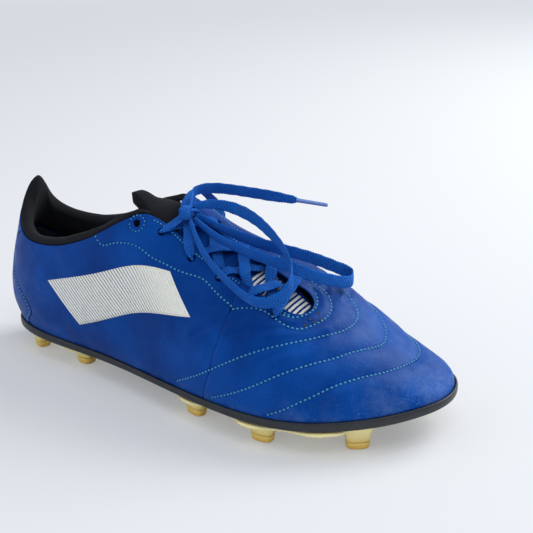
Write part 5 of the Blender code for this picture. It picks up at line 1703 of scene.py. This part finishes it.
def strand(node, rows):
    """Lace over the throat; rows are x, distance from the lacing line, height, width."""
    rows = np.array(rows, float)
    points = lacing_rows(rows[:, :3])
    seed = len(node + "_woven") + rows[0, 0]
    lace_piece(node, [ribbon(points, across_path(points), rows[:, 3], seed=seed)])


def eye_across(k, side):
    """Signed distance of an eyelet from the lacing line."""
    return (edge_distance(EYE_X[k], side) + EYE_INSET) * (-1 if side == "lateral" else 1)


class Crossing:
    """Path from eyelet k_from on a side to eyelet k_to on the other."""
    def __init__(self, k_from, k_to, side):
        far = SIDES[1 - SIDES.index(side)]
        self.sign = -1 if side == "lateral" else 1
        self.ends = EYE_X[k_from], EYE_X[k_to]
        self.start_edge = edge_distance(EYE_X[k_from], side)
        self.end_edge = edge_distance(EYE_X[k_to], far)
        self.start_eye = eye_across(k_from, side)
        self.end_eye = eye_across(k_to, far)

    def x(self, share):
        return self.ends[0] + (self.ends[1] - self.ends[0]) * share


def lace_bar():
    x = EYE_X[5]
    left, right = eye_across(5, "lateral"), eye_across(5, "medial")
    # distance from the eyelet, height, width
    end = [(0.0, -1.6, 3.4), (0.5, 0.2, 3.8), (1.6, 1.2, 4.6), (4.0, 1.6, 5.8), (7.0, 1.5, 6.4)]
    strand("lace_bar", [(x, left + far, z, width) for far, z, width in end]
           + [(x, 0.0, 1.2, 6.4)]
           + [(x, right - far, z, width) for far, z, width in end[::-1]])


def cross_up(node, k_from, k_to, side, high):
    """Starts under the leather and comes down into the far eyelet from outside."""
    path = Crossing(k_from, k_to, side)
    x, sign, start, end, eye = path.x, path.sign, path.start_edge, path.end_edge, path.end_eye
    strand(node, [
        (x(0.06), sign * (start + 1.8), -3.8, 4.2),
        (x(0.20), sign * (start - 2.6), -3.4, 5.4),
        (x(0.36), sign * start * 0.42, -0.7 if high else -3.1, 6.0),
        (x(0.50), 0.0, -0.3 if high else -3.0, 6.2),
        (x(0.64), -sign * end * 0.42, 0.4 if high else -2.5, 6.2),
        (x(0.80), -sign * (end - 0.8), 1.6 if high else 1.45, 6.2),
        (x(0.88), -sign * (end + 1.8), 1.65, 5.8),
        (x(0.95), eye + sign * 1.4, 1.15, 4.4),
        (x(0.985), eye + sign * 0.4, 0.2, 3.8),
        (x(1.0), eye, -1.6, 3.4)])


def cross_under(node, k_from, k_to, side, high):
    """Stays under the leather at both ends."""
    path = Crossing(k_from, k_to, side)
    x, sign, start, end = path.x, path.sign, path.start_edge, path.end_edge
    quarter_z = -2.0 if high else -3.9
    strand(node, [
        (x(0.04), sign * (start + 2.0), -3.9, 4.2),
        (x(0.28), sign * (start - 4.2), quarter_z, 5.8),
        (x(0.5), 0.0, -1.2 if high else -3.8, 6.2),
        (x(0.72), -sign * (end - 4.2), quarter_z, 5.8),
        (x(0.96), -sign * (end + 2.0), -3.9, 4.2)])


def cross_over(node, k_from, k_to, side, high):
    """Runs over the leather from eyelet to eyelet."""
    path = Crossing(k_from, k_to, side)
    x, sign, start, end = path.x, path.sign, path.start_edge, path.end_edge
    quarter_z = 1.6 if high else 0.9
    strand(node, [
        (x(0.0), path.start_eye, -1.6, 3.4),
        (x(0.015), path.start_eye - sign * 0.4, 0.2, 3.8),
        (x(0.05), path.start_eye - sign * 1.4, 1.15, 4.4),
        (x(0.14), sign * (start + 1.8), 1.9, 5.8),
        (x(0.26), sign * start * 0.75, quarter_z, 6.2),
        (x(0.5), 0.0, 1.3 if high else -1.6, 6.2),
        (x(0.74), -sign * end * 0.75, quarter_z, 6.2),
        (x(0.86), -sign * (end + 1.8), 1.9, 5.8),
        (x(0.95), path.end_eye + sign * 1.4, 1.15, 4.4),
        (x(0.985), path.end_eye + sign * 0.4, 0.2, 3.8),
        (x(1.0), path.end_eye, -1.6, 3.4)])


lace_bar()
cross_up("lace_cross_1a", 5, 4, "lateral", high=False)
cross_up("lace_cross_1b", 5, 4, "medial", high=True)
cross_up("lace_cross_2a", 4, 3, "medial", high=False)
cross_up("lace_cross_2b", 4, 3, "lateral", high=True)
cross_under("lace_cross_3a", 3, 2, "lateral", high=False)
cross_under("lace_cross_3b", 3, 2, "medial", high=True)
cross_over("lace_cross_4a", 2, 1, "medial", high=False)
cross_over("lace_cross_4b", 2, 1, "lateral", high=True)


def knot_wrap(centre, axes, radii, width, direction, angles, drift, seed):
    """One turn of lace round the knot, sliding by drift from start to end."""
    first = unit(np.array(axes[0]))
    second = np.array(axes[1])
    second = unit(second - first * (second @ first))
    angle = np.linspace(*angles, 14)[:, None]
    slide = np.array(drift) * (np.arange(14) / 13.0 - 0.5)[:, None]
    points = (KNOT + centre + slide + first * radii[0] * np.cos(angle)
              + second * radii[1] * np.sin(angle))
    return ribbon(points, [direction] * 14, [width] * 14, thick=1.5, seed=seed, fold=-0.25)


def knot_core():
    """Rounded body that fills the wraps."""
    angle = np.linspace(0, 2 * pi, 20, endpoint=False)
    rings = []
    for share in np.linspace(-0.97, 0.97, 12):
        size = np.sqrt(1 - share * share)
        rings.append(np.stack([
            KNOT[0] + 4.6 * share + 0 * angle,
            KNOT[1] + 3.9 * size * np.cos(angle),
            KNOT[2] - 0.2 + 2.5 * size * np.sin(angle) * (1 + 0.1 * np.cos(3 * angle))], -1))
    uv = np.stack([np.repeat(np.linspace(0, 10, 12)[:, None], 20, 1),
                   np.repeat(angle[None] * 3, 12, 0)], -1).reshape(-1, 2)
    return np.concatenate(rings), tube_faces(12, 20), uv


def knot_tail(side, sign):
    """Lace from the second eyelet up into the knot."""
    x, eye = EYE_X[1], eye_across(1, side)
    low = lacing_rows([(x, eye, -1.8), (x + 0.3, eye - sign * 0.6, 0.6),
                       (x + 1.5, eye - sign * 2.2, 1.9), (x + 4.5, eye - sign * 6.5, 3.2)])
    points = np.concatenate([low, KNOT + [(-2.5, 3.2 * sign, -2.6), (-0.5, 1.0 * sign, -0.6)]])
    return ribbon(points, across_path(points), [3.4, 4.2, 5.4, 6.2, 5.2, 3.8], seed=4.0 + sign)


lace_piece("lace_knot", [
    knot_wrap((0.2, -0.4, 0.2), axes=((0.25, -0.95, 0.1), (0.1, 0.1, 1.0)), radii=(4.6, 3.5),
              width=5.6, direction=(0.95, 0.25, 0.0), angles=(0.3, 2 * pi + 0.5),
              drift=(1.6, 0.4, 0), seed=1.0),
    knot_wrap((-2.2, -0.6, -0.3), axes=((0.65, -0.75, 0.2), (0.0, 0.1, 1.0)), radii=(4.4, 3.1),
              width=5.0, direction=(0.75, 0.65, 0.1), angles=(0.8, 2 * pi + 0.2),
              drift=(-0.8, 0.6, 0.5), seed=2.0),
    knot_wrap((2.4, 0.6, -0.6), axes=((-0.35, -0.9, 0.1), (0.2, 0.0, 1.0)), radii=(4.0, 2.8),
              width=4.6, direction=(0.9, -0.35, 0.1), angles=(0.0, 2 * pi - 0.3),
              drift=(0, 0, 0), seed=3.0),
    knot_core(), knot_tail("lateral", -1), knot_tail("medial", 1)])

# free laces: x, y, z, width, twist in degrees
BOW_LATERAL = [
    (133.5, -11.3, 108.5, 3.6, 0), (136.4, -9.0, 110.3, 4.2, 0), (141.5, -3.6, 110.0, 5.4, -6),
    (148.5, 0.1, 108.8, 6.2, -10), (157, 1.2, 106.8, 6.5, -14), (176.2, -5.9, 102.4, 6.5, -6),
    (191.0, -14.0, 96.4, 6.5, 4), (200.5, -21.0, 88.4, 6.5, 8), (202.2, -27.0, 80.0, 6.5, 6),
    (197.0, -32.6, 73.8, 6.5, 0), (186.5, -35.0, 72.2, 6.5, -8), (175.0, -34.0, 76.0, 6.5, -14),
    (161.6, -30.8, 82.4, 6.5, -10), (150.5, -26.6, 88.6, 6.4, -4), (143.2, -23.0, 94.6, 6.2, 0),
    (137.8, -19.4, 99.8, 5.2, 0), (134.5, -17.0, 102.8, 3.8, 0)]
BOW_MEDIAL = [
    (134.8, -12.4, 104.8, 3.4, 0), (138.4, -10.8, 103.6, 4.0, 0), (146, -11.0, 101.0, 4.6, 5),
    (155, -10.6, 98.6, 5.8, 8), (168.6, -8.0, 94.6, 6.5, 10), (185.4, 0.0, 89.4, 6.5, 4),
    (199.5, 8.5, 84.0, 6.5, -4), (209.5, 15.5, 78.6, 6.5, -8), (216.2, 18.4, 75.0, 6.5, -4),
    (219.4, 13.0, 74.0, 6.5, 4), (213.4, 1.0, 76.8, 6.5, 10), (204.2, -6.4, 80.8, 6.5, 8),
    (196.2, -9.9, 84.2, 6.5, 0), (178, -15.4, 89.2, 6.4, -6), (163, -16.8, 93.0, 5.8, -8),
    (150.5, -16.4, 96.8, 4.6, 0), (139.8, -15.0, 101.6, 3.8, 0), (135.6, -14.6, 103.6, 3.4, 0)]
END_FRONT = [
    (131.0, -11.5, 108.4, 3.6, 0), (129.5, -8.0, 111.4, 4.2, 0), (127.2, -1.6, 114.6, 5.2, 0),
    (131.2, 5.3, 115.5, 6.4, 6), (144.2, 13.8, 114.2, 6.5, 10), (163.6, 23.0, 111.0, 6.4, 4),
    (174.5, 27.8, 109.2, 4.6, 0), (177.0, 28.9, 108.8, 2.4, 0)]
END_BACK = [
    (127.8, -11.8, 107.0, 3.6, 0), (125.0, -8.6, 107.8, 4.2, 0), (123.0, -1.5, 110.6, 5.0, 0),
    (121.6, 8.0, 111.6, 6.3, 8), (121.0, 17.0, 108.8, 6.5, 4), (121.0, 26.0, 101.4, 6.4, -6),
    (121.6, 34.5, 90.4, 4.6, 0), (121.75, 36.0, 88.2, 2.4, 0)]


def free_lace(node, rows, direction=(0.0, 0.0, 1.0)):
    rows = np.array(rows, float)
    strip = ribbon(rows[:, :3], [direction] * len(rows), rows[:, 3], twist=rows[:, 4],
                   seed=len(node + "_woven") * 1.7)
    lace_piece(node, [strip], body=node)


def aglet(node, start, end, body):
    start = np.array(start, float)
    way = np.array(end, float) - start
    length = np.linalg.norm(way)
    way = way / length
    first, second = plane_axes(way)
    angle = np.linspace(0, 2 * pi, 20, endpoint=False)[:, None]
    # distance along, radius
    profile = [(-0.2, 1.10), (0.0, 1.34), (0.35, 1.38), (length * 0.15, 1.30),
               (length * 0.5, 1.24), (length * 0.86, 1.20), (length - 0.4, 1.14),
               (length - 0.1, 1.02), (length, 0.85)]
    circle = np.cos(angle) * first + 0.92 * np.sin(angle) * second
    rings = [start + way * along + radius * circle * (1 + 0.025 * np.sin(3 * angle + along))
             for along, radius in profile]
    ob = make_object(node + "_film", np.concatenate(rings), tube_faces(len(profile), 20), AGLET,
                     body, replaces=node, slot="aglet_plastic")
    fix_normals(ob.data)


free_lace("bow_loop_lateral", BOW_LATERAL)
free_lace("bow_loop_medial", BOW_MEDIAL)
free_lace("lace_end_front", END_FRONT)
free_lace("lace_end_back", END_BACK, direction=(0.9, 0.3, 0))
aglet("aglet_front", (176.2, 28.6, 108.9), (192.5, 35.8, 106.4), "lace_end_front")
aglet("aglet_back", (121.7, 35.5, 89.0), (122.6, 42.6, 76.0), "lace_end_back")


# ================================================================ floor, light, camera (metres)
def floor_material():
    """The camera sees even pale paper; other rays meet a plain white floor."""
    near_glow, far_glow = 0.27, 0.50
    material = bpy.data.materials.new("floor_pale")
    material.use_nodes = True
    tree = material.node_tree
    tree.nodes.clear()
    grain = add_node(tree, "TexNoise", {"Scale": 9.0, "Detail": 3.0})
    ramp = add_node(tree, "ValToRGB", {"Fac": grain.outputs["Fac"]})
    ramp.color_ramp.elements[0].color = (0.475, 0.487, 0.500, 1)
    ramp.color_ramp.elements[1].color = (0.500, 0.510, 0.520, 1)
    paper = add_node(tree, "BsdfDiffuse", {"Color": ramp.outputs["Color"]})
    bounce = add_node(tree, "BsdfDiffuse", {"Color": (0.80, 0.82, 0.84)})
    glow = add_node(tree, "Emission", {"Color": (0.97, 0.985, 1.0), "Strength": near_glow})
    # the glow grows with distance, so the floor runs into the backdrop
    place = add_node(tree, "TexCoord").outputs["Object"]
    distance = add_node(tree, "VectorMath", {0: place}, operation="LENGTH").outputs["Value"]
    strength = add_node(tree, "MapRange", {"Value": distance, "From Min": 0.45, "From Max": 3.2,
                                           "To Min": near_glow, "To Max": far_glow},
                        interpolation_type="SMOOTHSTEP")
    put(tree, glow.inputs["Strength"], strength.outputs[0])
    seen = add_node(tree, "AddShader", {0: paper.outputs[0], 1: glow.outputs[0]})
    camera_ray = add_node(tree, "LightPath").outputs["Is Camera Ray"]
    pick = add_node(tree, "MixShader", {0: camera_ray, 1: bounce.outputs[0], 2: seen.outputs[0]})
    add_node(tree, "OutputMaterial", {"Surface": pick.outputs[0]})
    return material


def studio_floor():
    half, z = 9.0, -0.0004
    mesh = bpy.data.meshes.new("studio_floor")
    mesh.from_pydata([(-half, -half, z), (half, -half, z), (half, half, z), (-half, half, z)],
                     [], [(0, 1, 2, 3)])
    ob = link_object("studio_floor", mesh)
    mesh.materials.append(floor_material())


def studio_world():
    """Bluish ambient light; the camera sees a grey backdrop."""
    world = bpy.data.worlds.new("studio")
    bpy.context.scene.world = world
    world.use_nodes = True
    tree = world.node_tree
    ambient = tree.nodes["Background"]
    put(tree, ambient.inputs["Color"], (0.80, 0.87, 1.0))
    put(tree, ambient.inputs["Strength"], 0.50)
    seen = add_node(tree, "Background", {"Color": (0.735, 0.755, 0.785)})
    camera_ray = add_node(tree, "LightPath").outputs["Is Camera Ray"]
    pick = add_node(tree, "MixShader", {0: camera_ray, 1: ambient.outputs[0], 2: seen.outputs[0]})
    put(tree, tree.nodes["World Output"].inputs["Surface"], pick.outputs[0])


def area_light(name, location, size, power, colour):
    """Square light aimed at the shoe."""
    light = bpy.data.lights.new(name, "AREA")
    light.shape = "SQUARE"
    light.size = size
    light.energy = power
    light.color = colour
    ob = link_object(name, light)
    ob.location = location
    way = Vector((0.0, 0.0, 0.04)) - Vector(location)
    ob.rotation_euler = way.to_track_quat("-Z", "Y").to_euler()


def photo_camera():
    """Camera on a sphere round the target, mm in the lasting frame."""
    target = np.array([163.125, 16.735, 70.280])
    distance = 575.407
    azimuth, elevation, roll = radians(30.6903), radians(20.7929), radians(-0.5747)
    back = np.array([sin(azimuth) * cos(elevation), -cos(azimuth) * cos(elevation),
                     sin(elevation)])
    level = unit(np.cross(-back, (0, 0, 1.0)))
    upright = np.cross(level, -back)
    right = level * cos(roll) + upright * sin(roll)
    up = -level * sin(roll) + upright * cos(roll)
    camera = bpy.data.cameras.new("photo_camera")
    camera.sensor_width = 36.0
    camera.lens = 67.431445
    camera.clip_start = 0.02
    ob = link_object("photo_camera", camera)
    columns = np.column_stack([right, up, back, to_frame(target + back * distance)])
    ob.matrix_world = Matrix(np.vstack([columns, (0, 0, 0, 1)]).tolist())
    bpy.context.scene.camera = ob


bpy.context.scene.view_settings.view_transform = "Standard"
bpy.context.scene.view_settings.look = "None"
studio_floor()
studio_world()
area_light("key_back_right", (0.75, 1.15, 1.15), size=1.1, power=30.0, colour=(1.0, 0.985, 0.96))
area_light("fill_front_left", (-1.1, -1.2, 0.9), size=1.6, power=5.5, colour=(0.86, 0.92, 1.0))
area_light("top_front", (0.55, -0.35, 1.5), size=0.9, power=6.0, colour=(1.0, 1.0, 1.0))
photo_camera()
